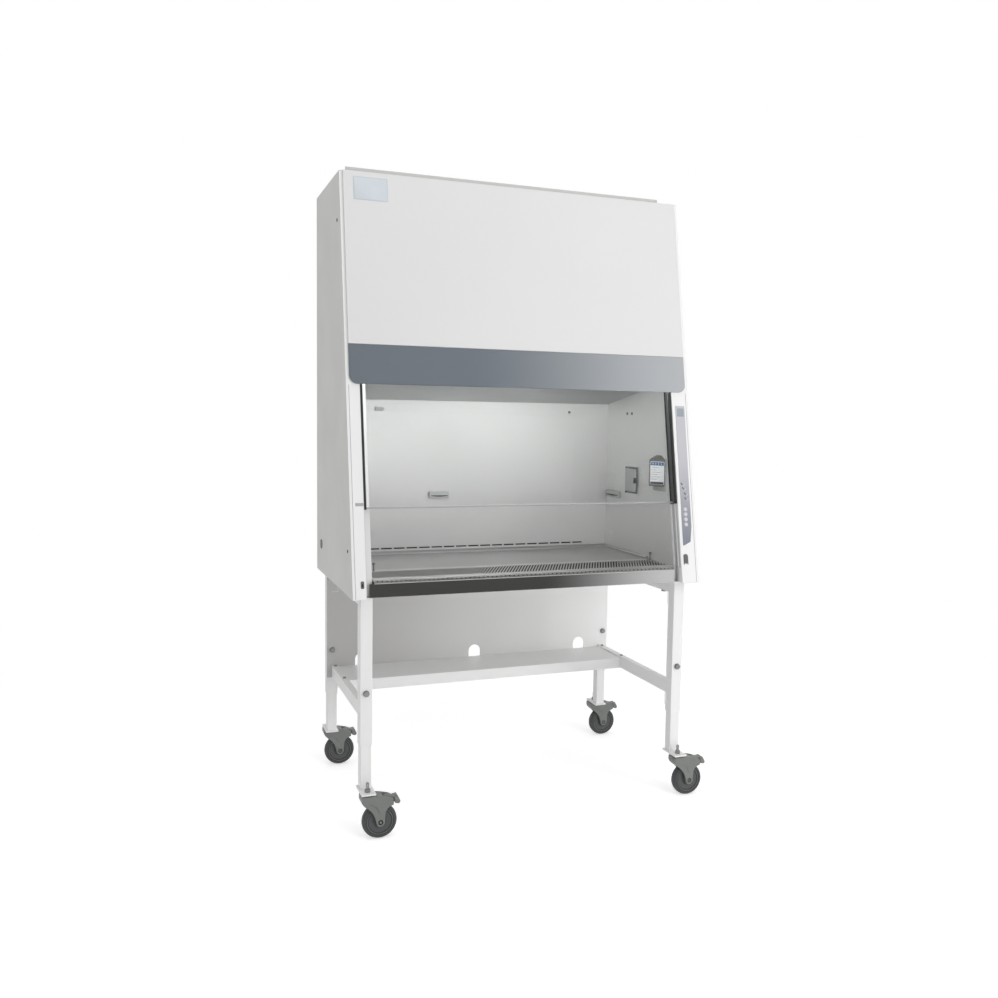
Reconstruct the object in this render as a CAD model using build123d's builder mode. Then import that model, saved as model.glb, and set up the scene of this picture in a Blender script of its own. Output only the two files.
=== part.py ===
from build123d import *
from math import atan2, cos, degrees, radians, sin, tan
import os

# Class II biosafety cabinet on a height-adjustable caster stand.
# Working axes: X across the front (right is +), Y from front to back, Z up, floor at Z = 0,
# X = 0 on the cabinet's centre line, Y = 0 on the front bottom edge. Every piece is moved to the
# centre of the whole object's footprint when it is saved. Lengths are millimetres.

# --- Stand and casters: these set the height of the cabinet's underside ---------------------------
WHEEL_RADIUS = 63.5
WHEEL_WIDTH = 32.0
CASTER_HEIGHT = 165.0
CASTER_TRAIL = 42.5
FORK_WIDTH = 54.0
FORK_GAP = 36.0
STEM_RADIUS = 6.0
STEM_TOP = 205.0
NUT_FLATS = 19.0
AXLE_RADIUS = 5.0
PEDAL_REACH = 116.0
PEDAL_PIVOT_REACH = 62.0
PEDAL_PIVOT_HEIGHT = 143.0
PEDAL_PIN_RADIUS = 3.0
PEDAL_TIP_LENGTH = 20.0
HOOD_REACH = 27.0
STEM_PLATE = 3.0
STEM_SOCKET = 27.0
FOOT_PLATE_HALF = 26.0
FOOT_PLATE = 6.0
LEG_EXPOSED = 160.0
OUTER_LEG_LENGTH = 535.4
OUTER_TUBE = 45.0
INNER_TUBE = 40.0
TUBE_WALL = 2.0
INNER_LEG_OVERLAP = 250.0
LEG_INSET = 58.1
FRONT_LEG_Y = 72.5
REAR_LEG_GAP = 3.5
STEM_OFFSET = 48.5
RAIL_WIDTH = 25.0
RAIL_HEIGHT = 50.0
LOWER_RAIL_DROP = 411.4
LEG_BOLT_DROP = 346.4
SHELF_DEPTH = 224.0
SHELF_LIP = 44.0
SHELF_DROP = 419.4
STAND_SHEET = 2.0
HOLD_DOWN_INSET = 80.0
BOLT_HEAD = 8.0
WASHER = 1.5
ARCH_WIDTH = 53.0
ARCH_HEIGHT = 52.0
ARCH_PITCH = 508.0

# --- Cabinet shell -------------------------------------------------------------------------------
CHAMBER_WIDTH = 1219.2
SIDE_DUCT = 79.9
CABINET_WIDTH = CHAMBER_WIDTH + 2 * SIDE_DUCT
CABINET_DEPTH = 743.0
REAR_DUCT = 78.0
CABINET_HEIGHT = 1510.0
FRONT_LEAN = 9.9
SKIN = 2.0
LEFT_POST = 48.5
RIGHT_POST = 73.5
POST_RETURN = 50.0
HEADER_INSET = 12.5
HEADER_PROUD = 7.0
BAND_BOTTOM = 758.7
BAND_HEIGHT = 142.0
BAND_CORNER = 30.0
HEADER_GAP = 1.0
TOP_UPSTAND = 16.0
UPSTAND_SET_BACK = 6.0
UPSTAND_THICKNESS = 4.0
UPSTAND_END_LEFT = 24.0
UPSTAND_END_RIGHT = 84.0
EXHAUST_WIDTH = 560.0
EXHAUST_SET_BACK = 365.0
EXHAUST_DEPTH = CABINET_DEPTH - REAR_DUCT - EXHAUST_SET_BACK
EXHAUST_Y = EXHAUST_SET_BACK + EXHAUST_DEPTH / 2
GUARD_FRAME = 22.0
GUARD_HEIGHT = 12.0
SIDE_PLUG_RADIUS = 13.0
SIDE_PLUG_PROUD = 2.5

# --- Work chamber --------------------------------------------------------------------------------
CHAMBER_BACK = CABINET_DEPTH - REAR_DUCT
CHAMBER_HEIGHT = 645.6
WORK_HEIGHT = 60.0
SURFACE_RIM = 11.6
SURFACE_COVE = 8.0
SURFACE_GAP = 0.5
GRILLE_BACK = 268.0
NOSE_DEPTH = 42.0
NOSE_DROP = 9.9
SLIT_PITCH = 11.6
SLIT_WIDTH = 5.0
SLIT_FRONT = 90.0
SLIT_LENGTH = 140.0
STUD_RADIUS = 5.0
STUD_HEIGHT = 33.0
TRIM_SET_BACK = 33.0
TRIM_HEIGHT = 48.0
TRIM_END_GAP = 16.5
LEDGE_WIDTH = 12.0
LINER_DROP = 76.4
EXHAUST_SLOTS = 18
EXHAUST_SLOT_PITCH = 55.0
EXHAUST_SLOT_LENGTH = 47.5
EXHAUST_SLOT_HEIGHT = 6.0
EXHAUST_SLOT_RISE = 22.6
WALL_GAP = 2.0
CONTACT_GAP = 0.3
NECK_CLEARANCE = 0.2

# --- Sliding sash --------------------------------------------------------------------------------
SASH_BOTTOM = 318.0
SASH_HEIGHT = 727.0
GLASS_THICKNESS = 6.0
GLASS_DEPTH = 17.0
GLASS_GRIP = 4.3
STILE_WIDTH = 10.0
STILE_FRONT = 11.0
STILE_DEPTH = 18.0
STILE_DROP = 3.0
WIPER_REAR = 14.0
WIPER_FRONT = 9.5
BOTTOM_RAIL_HEIGHT = 6.0
HANGER_HEIGHT = 30.0
TRACK_STRIP = 2.0
TRACK_RIB = 4.3
SLIDE_CLEARANCE = 0.3
TRACK_BOTTOM = 62.0
TRACK_TOP = 1440.0
SHEAVE_RADIUS = 25.0
SHEAVE_FLANGE = 28.0
SHEAVE_WIDTH = 12.0
SHAFT_RADIUS = 6.0
SHAFT_DEPTH = 45.0
SHAFT_DROP = 36.4
BEARING_BLOCK = 40.0
BEARING_THICKNESS = 15.0
RUNNING_FIT = 0.05
WEIGHT_THICKNESS = 32.0
WEIGHT_LENGTH = 500.0
WEIGHT_TOP_DROP = 346.4

# --- Air system ----------------------------------------------------------------------------------
FILTER_HEIGHT = 90.0
FILTER_FRONT = 56.0
FILTER_BACK_GAP = 217.0
FILTER_DEPTH = CABINET_DEPTH - FILTER_BACK_GAP - FILTER_FRONT
FILTER_FRAME = 20.0
PLENUM_WALL = 3.0
PLENUM_DROP = 108.4
EXHAUST_FILTER_HEIGHT = 90.0
BLOWER_RADIUS = 130.0
BLOWER_WIDTH = 180.0
BLOWER_WALL = 3.0
BLOWER_BLADES = 24
BLOWER_RISE = 1150.0
MOTOR_RADIUS = 55.0
MOTOR_LENGTH = 50.0
BLADE_LENGTH = 68.0
LAMP_RADIUS = 8.0
LAMP_END_GAP = 34.6
LAMP_LENGTH = CHAMBER_WIDTH - 2 * LAMP_END_GAP
LAMP_CAP = 15.0
LAMP_RISE = 800.0
LAMP_DEPTH = 4.0

# --- Controls and fittings -----------------------------------------------------------------------
CONSOLE_WIDTH = 40.0
CONSOLE_LEFT = 13.5
CONSOLE_BOTTOM = 146.0
CONSOLE_TOP = 704.0
CONSOLE_THICKNESS = 2.0
BUTTON_RADIUS = 6.5
BUTTON_PITCH = 20.0
BUTTON_LOWEST = 230.5
BUTTON_STAND = 3.0
BUTTON_TRAVEL = 1.0
DISPLAY_FRONT = 143.0
DISPLAY_BACK = 249.0
DISPLAY_REACH = 39.6
DISPLAY_CORNER = 212.0
DISPLAY_BOTTOM = 1235.0
DISPLAY_ROOF = 1344.0
DISPLAY_ROOF_RISE = 18.0
SCREEN_WIDTH = 64.0
SCREEN_HEIGHT = 84.0
SCREEN_THICKNESS = 2.0
OUTLET_FRONT = 376.0
OUTLET_WIDTH = 82.0
OUTLET_BOTTOM = 1188.0
OUTLET_HEIGHT = 114.0
OUTLET_BASE = 6.0
OUTLET_LID = 8.0
OUTLET_PIN = 1.5
OUTLET_BARREL = 3.5
OUTLET_EAR = 8.0
PORT_BOTTOM = 1158.0
PORT_HEIGHT = 30.0
PORT_THICKNESS = 12.0
BACK_PORT_X = -186.5
BACK_PORT_WIDTH = 89.0
SIDE_PORT_Y = CHAMBER_BACK - 77.0
SIDE_PORT_WIDTH = 130.0
SENSOR_X = -445.0
SENSOR_Z = 1533.0
SENSOR_HALF = 9.0
SENSOR_LENGTH = 41.0
WALL_PLUG_RADIUS = 7.0
WALL_PLUG_Y = 441.0
WALL_PLUG_PITCH = 41.0
WALL_CAP_RADIUS = 25.0
WALL_CAP_INSET = 50.0
WALL_CAP_THICKNESS = 1.5
SIDE_SCREW_RADIUS = 4.0
LOWER_SCREW_Y = 92.0
LOWER_SCREW_RISE = 159.0
UPPER_SCREW_Y = 297.0
UPPER_SCREW_DROP = 169.0
SIDE_PLUG_GAP = 106.0
SIDE_PLUG_RISE = 115.0
DRAIN_X = -300.0
DRAIN_Y = CHAMBER_BACK - 105.0
DRAIN_RADIUS = 11.0
DRAIN_BODY = 19.0
DRAIN_LENGTH = 74.0
DRAIN_LEVER = 82.0
INLET_SIDE_GAP = 129.5
INLET_DROP = 130.0
INLET_RADIUS = 11.0
INLET_FLANGE = 17.0
INLET_COLLAR = 7.0
INLET_TAPER = 14.0
INLET_NUT = 4.0
CORD_RADIUS = 4.5

# --- Derived sizes -------------------------------------------------------------------------------
HALF_WIDTH = CABINET_WIDTH / 2
HALF_CHAMBER = CHAMBER_WIDTH / 2
CABINET_BOTTOM = CASTER_HEIGHT + FOOT_PLATE + LEG_EXPOSED + OUTER_LEG_LENGTH
CABINET_TOP = CABINET_BOTTOM + CABINET_HEIGHT
OUTER_LEG_BOTTOM = CABINET_BOTTOM - OUTER_LEG_LENGTH
SIN_LEAN = sin(radians(FRONT_LEAN))
COS_LEAN = cos(radians(FRONT_LEAN))
TAN_LEAN = tan(radians(FRONT_LEAN))
SLOPE_LENGTH = CABINET_HEIGHT / COS_LEAN
OPEN_LEFT = -HALF_WIDTH + LEFT_POST
OPEN_RIGHT = HALF_WIDTH - RIGHT_POST
HEADER_HALF = HALF_WIDTH - HEADER_INSET
WORK_TOP = CABINET_BOTTOM + WORK_HEIGHT
CEILING_Z = WORK_TOP + CHAMBER_HEIGHT
CEILING_RISE = CHAMBER_BACK * SIN_LEAN + (CEILING_Z - CABINET_BOTTOM) * COS_LEAN
LEG_X = HALF_WIDTH - LEG_INSET
REAR_LEG_Y = CABINET_DEPTH - REAR_LEG_GAP
LEG_SPAN_Y = REAR_LEG_Y - FRONT_LEG_Y
INLET_X = HALF_WIDTH - INLET_SIDE_GAP
RAIL_X = LEG_X - OUTER_TUBE / 2 + RAIL_WIDTH / 2
STAND_PANEL_Y = REAR_LEG_Y - OUTER_TUBE / 2
RAIL_BOTTOMS = (CABINET_BOTTOM - RAIL_HEIGHT, CABINET_BOTTOM - LOWER_RAIL_DROP - RAIL_HEIGHT)
SHELF_TOP = CABINET_BOTTOM - SHELF_DROP
FLANGE_DEPTH = POST_RETURN
DUCT_WIDTH = HALF_WIDTH - HALF_CHAMBER - 2 * SKIN
WEIGHT_X = HALF_CHAMBER + SKIN + DUCT_WIDTH / 2
STILE_LEFT = OPEN_LEFT + TRACK_STRIP + SLIDE_CLEARANCE
STILE_RIGHT = OPEN_RIGHT - TRACK_STRIP - SLIDE_CLEARANCE
RAIL_LEFT = STILE_LEFT + STILE_WIDTH
RAIL_RIGHT = STILE_RIGHT - STILE_WIDTH
GLASS_LEFT = RAIL_LEFT - GLASS_GRIP
GLASS_RIGHT = RAIL_RIGHT + GLASS_GRIP
SASH_TOP = SASH_BOTTOM + SASH_HEIGHT
STILE_BACK = STILE_FRONT + STILE_DEPTH + WIPER_REAR
LINER_TOP = CABINET_TOP - LINER_DROP
SHAFT_Z = CABINET_TOP - SHAFT_DROP
PLENUM_TOP = CABINET_TOP - PLENUM_DROP
FOOTPRINT_X = (LEG_X + PEDAL_REACH - HALF_WIDTH - SIDE_PLUG_PROUD) / 2
FOOTPRINT_Y = (FRONT_LEG_Y + REAR_LEG_Y) / 2
LEG_CORNERS = [
    ("front_left", -LEG_X, FRONT_LEG_Y, -1),
    ("front_right", LEG_X, FRONT_LEG_Y, -1),
    ("rear_left", -LEG_X, REAR_LEG_Y, 1),
    ("rear_right", LEG_X, REAR_LEG_Y, 1),
]

# Planes of the leaning front: sections across it (X by depth) and faces on it (X by height up it).
ACROSS = Plane(origin=(0, 0, CABINET_BOTTOM), x_dir=(1, 0, 0), z_dir=(0, SIN_LEAN, COS_LEAN))
FACE = Plane(origin=(0, 0, CABINET_BOTTOM), x_dir=(1, 0, 0), z_dir=(0, -COS_LEAN, SIN_LEAN))


def front_y(height, depth=0.0):
    """Y of a plane parallel to the leaning front, `depth` behind it, at a level height."""
    return (height - CABINET_BOTTOM) * TAN_LEAN + depth / COS_LEAN


def rect(x_low, x_high, y_low, y_high, mode=Mode.ADD):
    """Add to the sketch in hand a rectangle given by its edges."""
    with Locations(((x_low + x_high) / 2, (y_low + y_high) / 2)):
        Rectangle(x_high - x_low, y_high - y_low, mode=mode)


def save(name, *pieces):
    """Move a node's finished pieces to the part's origin, label them and write one STEP file."""
    home = Location((-FOOTPRINT_X, -FOOTPRINT_Y, 0))
    solids = [solid.moved(home) for piece in pieces for solid in piece.solids()]
    placed = solids[0] if len(solids) == 1 else Compound(solids)
    placed.label = name
    export_step(placed, f"parts/{name}.step")


os.makedirs("parts", exist_ok=True)

# === Outer shell =================================================================================

# Side panels: flat skins cut to the leaning front, with a plugged service hole low at the rear.
for side, sign in (("left", -1), ("right", 1)):
    skin_x = min(sign * HALF_WIDTH, sign * (HALF_WIDTH - SKIN))
    with BuildPart() as side_panel:
        with BuildSketch(Plane.YZ.offset(skin_x)):
            with BuildLine():
                Polyline(
                    (front_y(CABINET_BOTTOM, SKIN), CABINET_BOTTOM),
                    (CABINET_DEPTH - SKIN, CABINET_BOTTOM),
                    (CABINET_DEPTH - SKIN, CABINET_TOP - SKIN),
                    (front_y(CABINET_TOP - SKIN, SKIN), CABINET_TOP - SKIN),
                    close=True,
                )
            make_face()
        extrude(amount=SKIN)
    save(f"side_panel_{side}", side_panel.part)

with BuildPart() as rear_panel:
    with BuildSketch(Plane.XZ.offset(-CABINET_DEPTH)):
        rect(-HALF_WIDTH, HALF_WIDTH, CABINET_BOTTOM, CABINET_TOP - SKIN)
        with Locations((INLET_X, CABINET_TOP - INLET_DROP)):
            Circle(INLET_RADIUS, mode=Mode.SUBTRACT)
    extrude(amount=SKIN)
save("rear_panel", rear_panel.part)

# Cord gland in the rear panel: threaded neck through the sheet, hexagon outside, nut inside.
with BuildPart() as power_inlet:
    with BuildSketch(Plane.XZ.offset(-CABINET_DEPTH)):
        with Locations((INLET_X, CABINET_TOP - INLET_DROP)):
            RegularPolygon(INLET_FLANGE, 6)
    extrude(amount=-INLET_COLLAR)
    with BuildSketch(Plane.XZ.offset(-CABINET_DEPTH - INLET_COLLAR)):
        with Locations((INLET_X, CABINET_TOP - INLET_DROP)):
            Circle(INLET_RADIUS + 1)
    extrude(amount=-INLET_TAPER, taper=12)
    with BuildSketch(Plane.XZ.offset(-CABINET_DEPTH)):
        with Locations((INLET_X, CABINET_TOP - INLET_DROP)):
            Circle(INLET_RADIUS - NECK_CLEARANCE)
    extrude(amount=SKIN + 1.5 * INLET_NUT)
    with BuildSketch(Plane.XZ.offset(-CABINET_DEPTH + SKIN)):
        with Locations((INLET_X, CABINET_TOP - INLET_DROP)):
            RegularPolygon(INLET_FLANGE - 1, 6)
    extrude(amount=INLET_NUT)
    with BuildSketch(Plane.XZ.offset(-CABINET_DEPTH - INLET_COLLAR - INLET_TAPER)):
        with Locations((INLET_X, CABINET_TOP - INLET_DROP)):
            Circle(CORD_RADIUS)
    extrude(amount=INLET_COLLAR + INLET_TAPER + SKIN + 1.5 * INLET_NUT, mode=Mode.SUBTRACT)
save("power_inlet", power_inlet.part)

# Top panel: exhaust cut-out and a low upstand along its front edge.
with BuildPart() as top_panel:
    with BuildSketch(Plane.XY.offset(CABINET_TOP - SKIN)):
        rect(-HALF_WIDTH, HALF_WIDTH, front_y(CABINET_TOP), CABINET_DEPTH)
        rect(
            -EXHAUST_WIDTH / 2, EXHAUST_WIDTH / 2,
            EXHAUST_Y - EXHAUST_DEPTH / 2, EXHAUST_Y + EXHAUST_DEPTH / 2, mode=Mode.SUBTRACT,
        )
    extrude(amount=SKIN)
    with BuildSketch(Plane.XY.offset(CABINET_TOP)):
        rect(
            -HALF_WIDTH + UPSTAND_END_LEFT, HALF_WIDTH - UPSTAND_END_RIGHT,
            front_y(CABINET_TOP) + UPSTAND_SET_BACK,
            front_y(CABINET_TOP) + UPSTAND_SET_BACK + UPSTAND_THICKNESS,
        )
    extrude(amount=TOP_UPSTAND)
save("top_panel", top_panel.part)

# Exhaust guard: a low frame round the cut-out with flat bars across it.
with BuildPart() as exhaust_guard:
    with BuildSketch(Plane.XY.offset(CABINET_TOP)):
        with Locations((0, EXHAUST_Y)):
            Rectangle(EXHAUST_WIDTH + 2 * GUARD_FRAME, EXHAUST_DEPTH + 2 * GUARD_FRAME)
            Rectangle(EXHAUST_WIDTH, EXHAUST_DEPTH, mode=Mode.SUBTRACT)
    extrude(amount=GUARD_HEIGHT)
    fillet(exhaust_guard.edges().group_by(Axis.Z)[-1], SKIN)
    with BuildSketch(Plane.XY.offset(CABINET_TOP + GUARD_HEIGHT / 2)):
        with Locations((0, EXHAUST_Y)):
            with GridLocations(EXHAUST_WIDTH / 14, 1, 13, 1):
                Rectangle(GUARD_HEIGHT / 3, EXHAUST_DEPTH + SKIN)
    extrude(amount=GUARD_HEIGHT / 4)
save("exhaust_guard", exhaust_guard.part)

# Front posts: folded channels with a face, a deep inner return and level-cut ends.
for side, outer_x, inner_x in (("left", -HALF_WIDTH, OPEN_LEFT), ("right", HALF_WIDTH, OPEN_RIGHT)):
    sheet_x = inner_x + (SKIN if side == "right" else -SKIN)
    return_edges = sorted((inner_x, sheet_x))
    with BuildPart() as pillar:
        with BuildSketch(ACROSS.offset(-POST_RETURN)):
            rect(min(outer_x, inner_x), max(outer_x, inner_x), 0, SKIN)
            rect(return_edges[0], return_edges[1], 0, POST_RETURN)
        extrude(amount=SLOPE_LENGTH + 2 * POST_RETURN)
        split(bisect_by=Plane.XY.offset(CABINET_BOTTOM), keep=Keep.TOP)
        split(bisect_by=Plane.XY.offset(CABINET_TOP - SKIN), keep=Keep.BOTTOM)
        with BuildSketch(ACROSS.offset(TRACK_TOP)):
            rect(return_edges[0] - SKIN, return_edges[1] + SKIN, SKIN, POST_RETURN + SKIN)
        extrude(amount=SLOPE_LENGTH, mode=Mode.SUBTRACT)
    save(f"pillar_{side}", pillar.part)

# Header panel and the band below it: shallow folded trays on the front of the posts.
with BuildPart() as header_panel:
    panel_bottom = BAND_BOTTOM + BAND_HEIGHT + HEADER_GAP
    with BuildSketch(FACE):
        rect(-HEADER_HALF, HEADER_HALF, panel_bottom, SLOPE_LENGTH)
    extrude(amount=HEADER_PROUD)
    fillet(header_panel.faces().sort_by(Axis.Y)[0].edges(), SKIN)
    with BuildSketch(FACE):
        rect(-HEADER_HALF + SKIN, HEADER_HALF - SKIN, panel_bottom + SKIN, SLOPE_LENGTH - SKIN)
    extrude(amount=HEADER_PROUD - SKIN, mode=Mode.SUBTRACT)
save("header_panel", header_panel.part)

with BuildPart() as header_band:
    band_top = BAND_BOTTOM + BAND_HEIGHT
    with BuildSketch(FACE) as band_outline:
        rect(-HEADER_HALF, HEADER_HALF, BAND_BOTTOM, band_top)
        fillet(band_outline.vertices().group_by(Axis.Y)[0], BAND_CORNER)
    extrude(amount=HEADER_PROUD)
    fillet(header_band.faces().filter_by(GeomType.PLANE).sort_by(Axis.Y)[0].edges(), SKIN)
    with BuildSketch(FACE) as band_hollow:
        rect(-HEADER_HALF + SKIN, HEADER_HALF - SKIN, BAND_BOTTOM + SKIN, band_top - SKIN)
        fillet(band_hollow.vertices().group_by(Axis.Y)[0], BAND_CORNER - SKIN)
    extrude(amount=HEADER_PROUD - SKIN, mode=Mode.SUBTRACT)
save("header_band", header_band.part)

# Lamp: a tube across the front behind the band, held by an end block on each side.
with BuildPart() as lamp_tube:
    with BuildSketch(Plane.YZ.offset(-LAMP_LENGTH / 2)):
        lamp_z = CABINET_BOTTOM + LAMP_RISE * COS_LEAN - LAMP_DEPTH * SIN_LEAN
        with Locations((LAMP_RISE * SIN_LEAN + LAMP_DEPTH * COS_LEAN, lamp_z)):
            Circle(LAMP_RADIUS)
    extrude(amount=LAMP_LENGTH)
with BuildPart() as lamp_ends:
    with BuildSketch(ACROSS.offset(LAMP_RISE - 2 * LAMP_RADIUS)):
        for sign in (-1, 1):
            low, high = sorted((sign * LAMP_LENGTH / 2, sign * (LAMP_LENGTH / 2 + LAMP_CAP)))
            rect(low, high, -HEADER_PROUD + SKIN, LAMP_DEPTH + LAMP_RADIUS - 1)
    extrude(amount=4 * LAMP_RADIUS)
save("lamp", lamp_tube.part, lamp_ends.part)

# === Work chamber ================================================================================

# Base pan: floor sheet with a front extension between the posts, an upstand and a drain hole.
with BuildPart() as base_pan:
    upstand_x = (OPEN_LEFT + TRIM_END_GAP, OPEN_RIGHT - TRIM_END_GAP)
    pan_front = TRIM_SET_BACK + SKIN
    with BuildSketch(Plane.XY.offset(CABINET_BOTTOM)):
        rect(-HALF_WIDTH + SKIN, HALF_WIDTH - SKIN, POST_RETURN + 2 * SKIN, CABINET_DEPTH - SKIN)
        rect(OPEN_LEFT, OPEN_RIGHT, pan_front, POST_RETURN + 2 * SKIN)
        with Locations((DRAIN_X, DRAIN_Y)):
            Circle(DRAIN_RADIUS, mode=Mode.SUBTRACT)
    extrude(amount=SKIN)
    with BuildSketch(Plane.XY.offset(CABINET_BOTTOM)):
        rect(upstand_x[0], upstand_x[1], pan_front, pan_front + SKIN)
    extrude(amount=TRIM_HEIGHT - SKIN)
save("base_pan", base_pan.part)

# Front trim: the bright strip below the grille, with a folded top edge over the pan's upstand.
with BuildPart() as front_trim:
    with BuildSketch(Plane.YZ.offset(upstand_x[0])):
        rect(TRIM_SET_BACK, TRIM_SET_BACK + SKIN, CABINET_BOTTOM, CABINET_BOTTOM + TRIM_HEIGHT)
        rect(
            TRIM_SET_BACK, TRIM_SET_BACK + 3 * SKIN,
            CABINET_BOTTOM + TRIM_HEIGHT - SKIN, CABINET_BOTTOM + TRIM_HEIGHT,
        )
    extrude(amount=upstand_x[1] - upstand_x[0])
save("front_trim", front_trim.part)

# Chamber side walls: a tall wall, a flange out to the side panel and a ledge for the surface.
for side, sign in (("left", -1), ("right", 1)):
    wall_x = sorted((sign * HALF_CHAMBER, sign * (HALF_CHAMBER + SKIN)))
    flange_x = sorted((sign * HALF_CHAMBER, sign * (HALF_WIDTH - SKIN)))
    ledge_x = sorted((sign * HALF_CHAMBER, sign * (HALF_CHAMBER - LEDGE_WIDTH)))
    liner_bottom = CABINET_BOTTOM + SKIN
    ledge_top = WORK_TOP - SKIN
    with BuildPart() as liner:
        with BuildSketch(Plane.YZ.offset(wall_x[0])):
            with BuildLine():
                Polyline(
                    (front_y(liner_bottom, FLANGE_DEPTH), liner_bottom),
                    (CABINET_DEPTH - SKIN, liner_bottom),
                    (CABINET_DEPTH - SKIN, LINER_TOP),
                    (front_y(LINER_TOP, FLANGE_DEPTH), LINER_TOP),
                    close=True,
                )
            make_face()
        extrude(amount=SKIN)
        with BuildSketch(Plane.YZ.offset(flange_x[0])):
            with BuildLine():
                Polyline(
                    (front_y(liner_bottom, FLANGE_DEPTH), liner_bottom),
                    (front_y(liner_bottom, FLANGE_DEPTH + SKIN), liner_bottom),
                    (front_y(LINER_TOP, FLANGE_DEPTH + SKIN), LINER_TOP),
                    (front_y(LINER_TOP, FLANGE_DEPTH), LINER_TOP),
                    close=True,
                )
            make_face()
        extrude(amount=flange_x[1] - flange_x[0])
        with BuildSketch(Plane.XY.offset(ledge_top - SKIN)):
            rect(ledge_x[0], ledge_x[1], NOSE_DEPTH + TRIM_SET_BACK, CHAMBER_BACK)
        extrude(amount=SKIN)
    save(f"liner_{side}", liner.part)

# Chamber back wall with a row of long exhaust slots just above the work surface.
with BuildPart() as liner_back:
    with BuildSketch(Plane.XZ.offset(-CHAMBER_BACK - SKIN)):
        rect(
            -HALF_CHAMBER, HALF_CHAMBER,
            CABINET_BOTTOM + SKIN, CEILING_Z - SKIN * TAN_LEAN - CONTACT_GAP,
        )
        with Locations((0, WORK_TOP + EXHAUST_SLOT_RISE)):
            with GridLocations(EXHAUST_SLOT_PITCH, 1, EXHAUST_SLOTS, 1):
                Rectangle(EXHAUST_SLOT_LENGTH, EXHAUST_SLOT_HEIGHT, mode=Mode.SUBTRACT)
    extrude(amount=SKIN)
save("liner_back", liner_back.part)

# Supply diffuser: the ceiling sheet, square to the leaning front, with upturned front and rear edges.
with BuildPart() as supply_diffuser:
    diffuser_back = CHAMBER_BACK * COS_LEAN - (CEILING_Z - CABINET_BOTTOM) * SIN_LEAN + SKIN
    with BuildSketch(ACROSS.offset(CEILING_RISE)):
        rect(-HALF_CHAMBER, HALF_CHAMBER, FLANGE_DEPTH, diffuser_back)
    extrude(amount=SKIN)
    with BuildSketch(ACROSS.offset(CEILING_RISE + SKIN)):
        rect(-HALF_CHAMBER, HALF_CHAMBER, FLANGE_DEPTH, FLANGE_DEPTH + SKIN)
        rect(-HALF_CHAMBER, HALF_CHAMBER, diffuser_back - SKIN, diffuser_back)
    extrude(amount=10)
save("supply_diffuser", supply_diffuser.part)

# Work surface: a lift-out tray with coved rims at the back and sides.
with BuildPart() as work_surface:
    surface_half = HALF_CHAMBER - WALL_GAP
    surface_front = GRILLE_BACK + SURFACE_GAP
    surface_back = CHAMBER_BACK - WALL_GAP
    with BuildSketch(Plane.XY.offset(WORK_TOP - SKIN)):
        rect(-surface_half, surface_half, surface_front, surface_back)
    extrude(amount=SKIN + SURFACE_RIM)
    with BuildSketch(Plane.XY.offset(WORK_TOP)):
        rect(
            -surface_half + SKIN + SURFACE_COVE, surface_half - SKIN - SURFACE_COVE,
            surface_front, surface_back - SKIN - SURFACE_COVE,
        )
    extrude(amount=SURFACE_RIM, mode=Mode.SUBTRACT)
    rim_edges = work_surface.edges().group_by(Axis.Z)[-1]
    inner_edges = rim_edges.filter_by(lambda e: abs(e.center().X) < surface_half - 1)
    inner_edges = inner_edges.filter_by(lambda e: surface_front + 1 < e.center().Y < surface_back - 1)
    chamfer(inner_edges, SURFACE_COVE)
save("work_surface", work_surface.part)

# Front grille: sheet with a rounded nose over the trim and close slits running front to back.
with BuildPart() as front_grille:
    nose_top = CABINET_BOTTOM + TRIM_HEIGHT + SKIN
    flat_start = TRIM_SET_BACK + NOSE_DEPTH
    mid_y = TRIM_SET_BACK + NOSE_DEPTH * 0.42
    mid_rise = (WORK_TOP - nose_top) * 0.66
    with BuildSketch(Plane.YZ.offset(-HALF_CHAMBER + WALL_GAP)):
        with BuildLine():
            ThreePointArc(
                (TRIM_SET_BACK, nose_top), (mid_y, nose_top + mid_rise), (flat_start, WORK_TOP)
            )
            Line((flat_start, WORK_TOP), (GRILLE_BACK, WORK_TOP))
            Line((GRILLE_BACK, WORK_TOP), (GRILLE_BACK, WORK_TOP - SKIN))
            Line((GRILLE_BACK, WORK_TOP - SKIN), (flat_start, WORK_TOP - SKIN))
            ThreePointArc(
                (flat_start, WORK_TOP - SKIN),
                (mid_y, nose_top + mid_rise - SKIN),
                (TRIM_SET_BACK, nose_top - SKIN),
            )
            Line((TRIM_SET_BACK, nose_top - SKIN), (TRIM_SET_BACK, nose_top))
        make_face()
    extrude(amount=CHAMBER_WIDTH - 2 * WALL_GAP)
    slit_count = int((CHAMBER_WIDTH - 4 * SLIT_PITCH) / SLIT_PITCH)
    with BuildSketch(Plane.XY.offset(WORK_TOP)):
        with Locations((0, SLIT_FRONT + SLIT_LENGTH / 2)):
            with GridLocations(SLIT_PITCH, 1, slit_count, 1):
                Rectangle(SLIT_WIDTH, SLIT_LENGTH)
        rect(RAIL_RIGHT - SKIN, HALF_CHAMBER, TRIM_SET_BACK - 1, front_y(WORK_TOP, STILE_BACK) + SKIN)
    extrude(amount=-NOSE_DROP - 2 * SKIN, mode=Mode.SUBTRACT)
    stud_x = HALF_CHAMBER - WALL_GAP - 2 * STUD_RADIUS
    with BuildSketch(Plane.XY.offset(WORK_TOP)):
        with Locations((-stud_x + 36, GRILLE_BACK - 21), (stud_x + 5, GRILLE_BACK - 29)):
            Circle(STUD_RADIUS)
    extrude(amount=STUD_HEIGHT)
save("front_grille", front_grille.part)

# === Sliding sash ================================================================================

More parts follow.
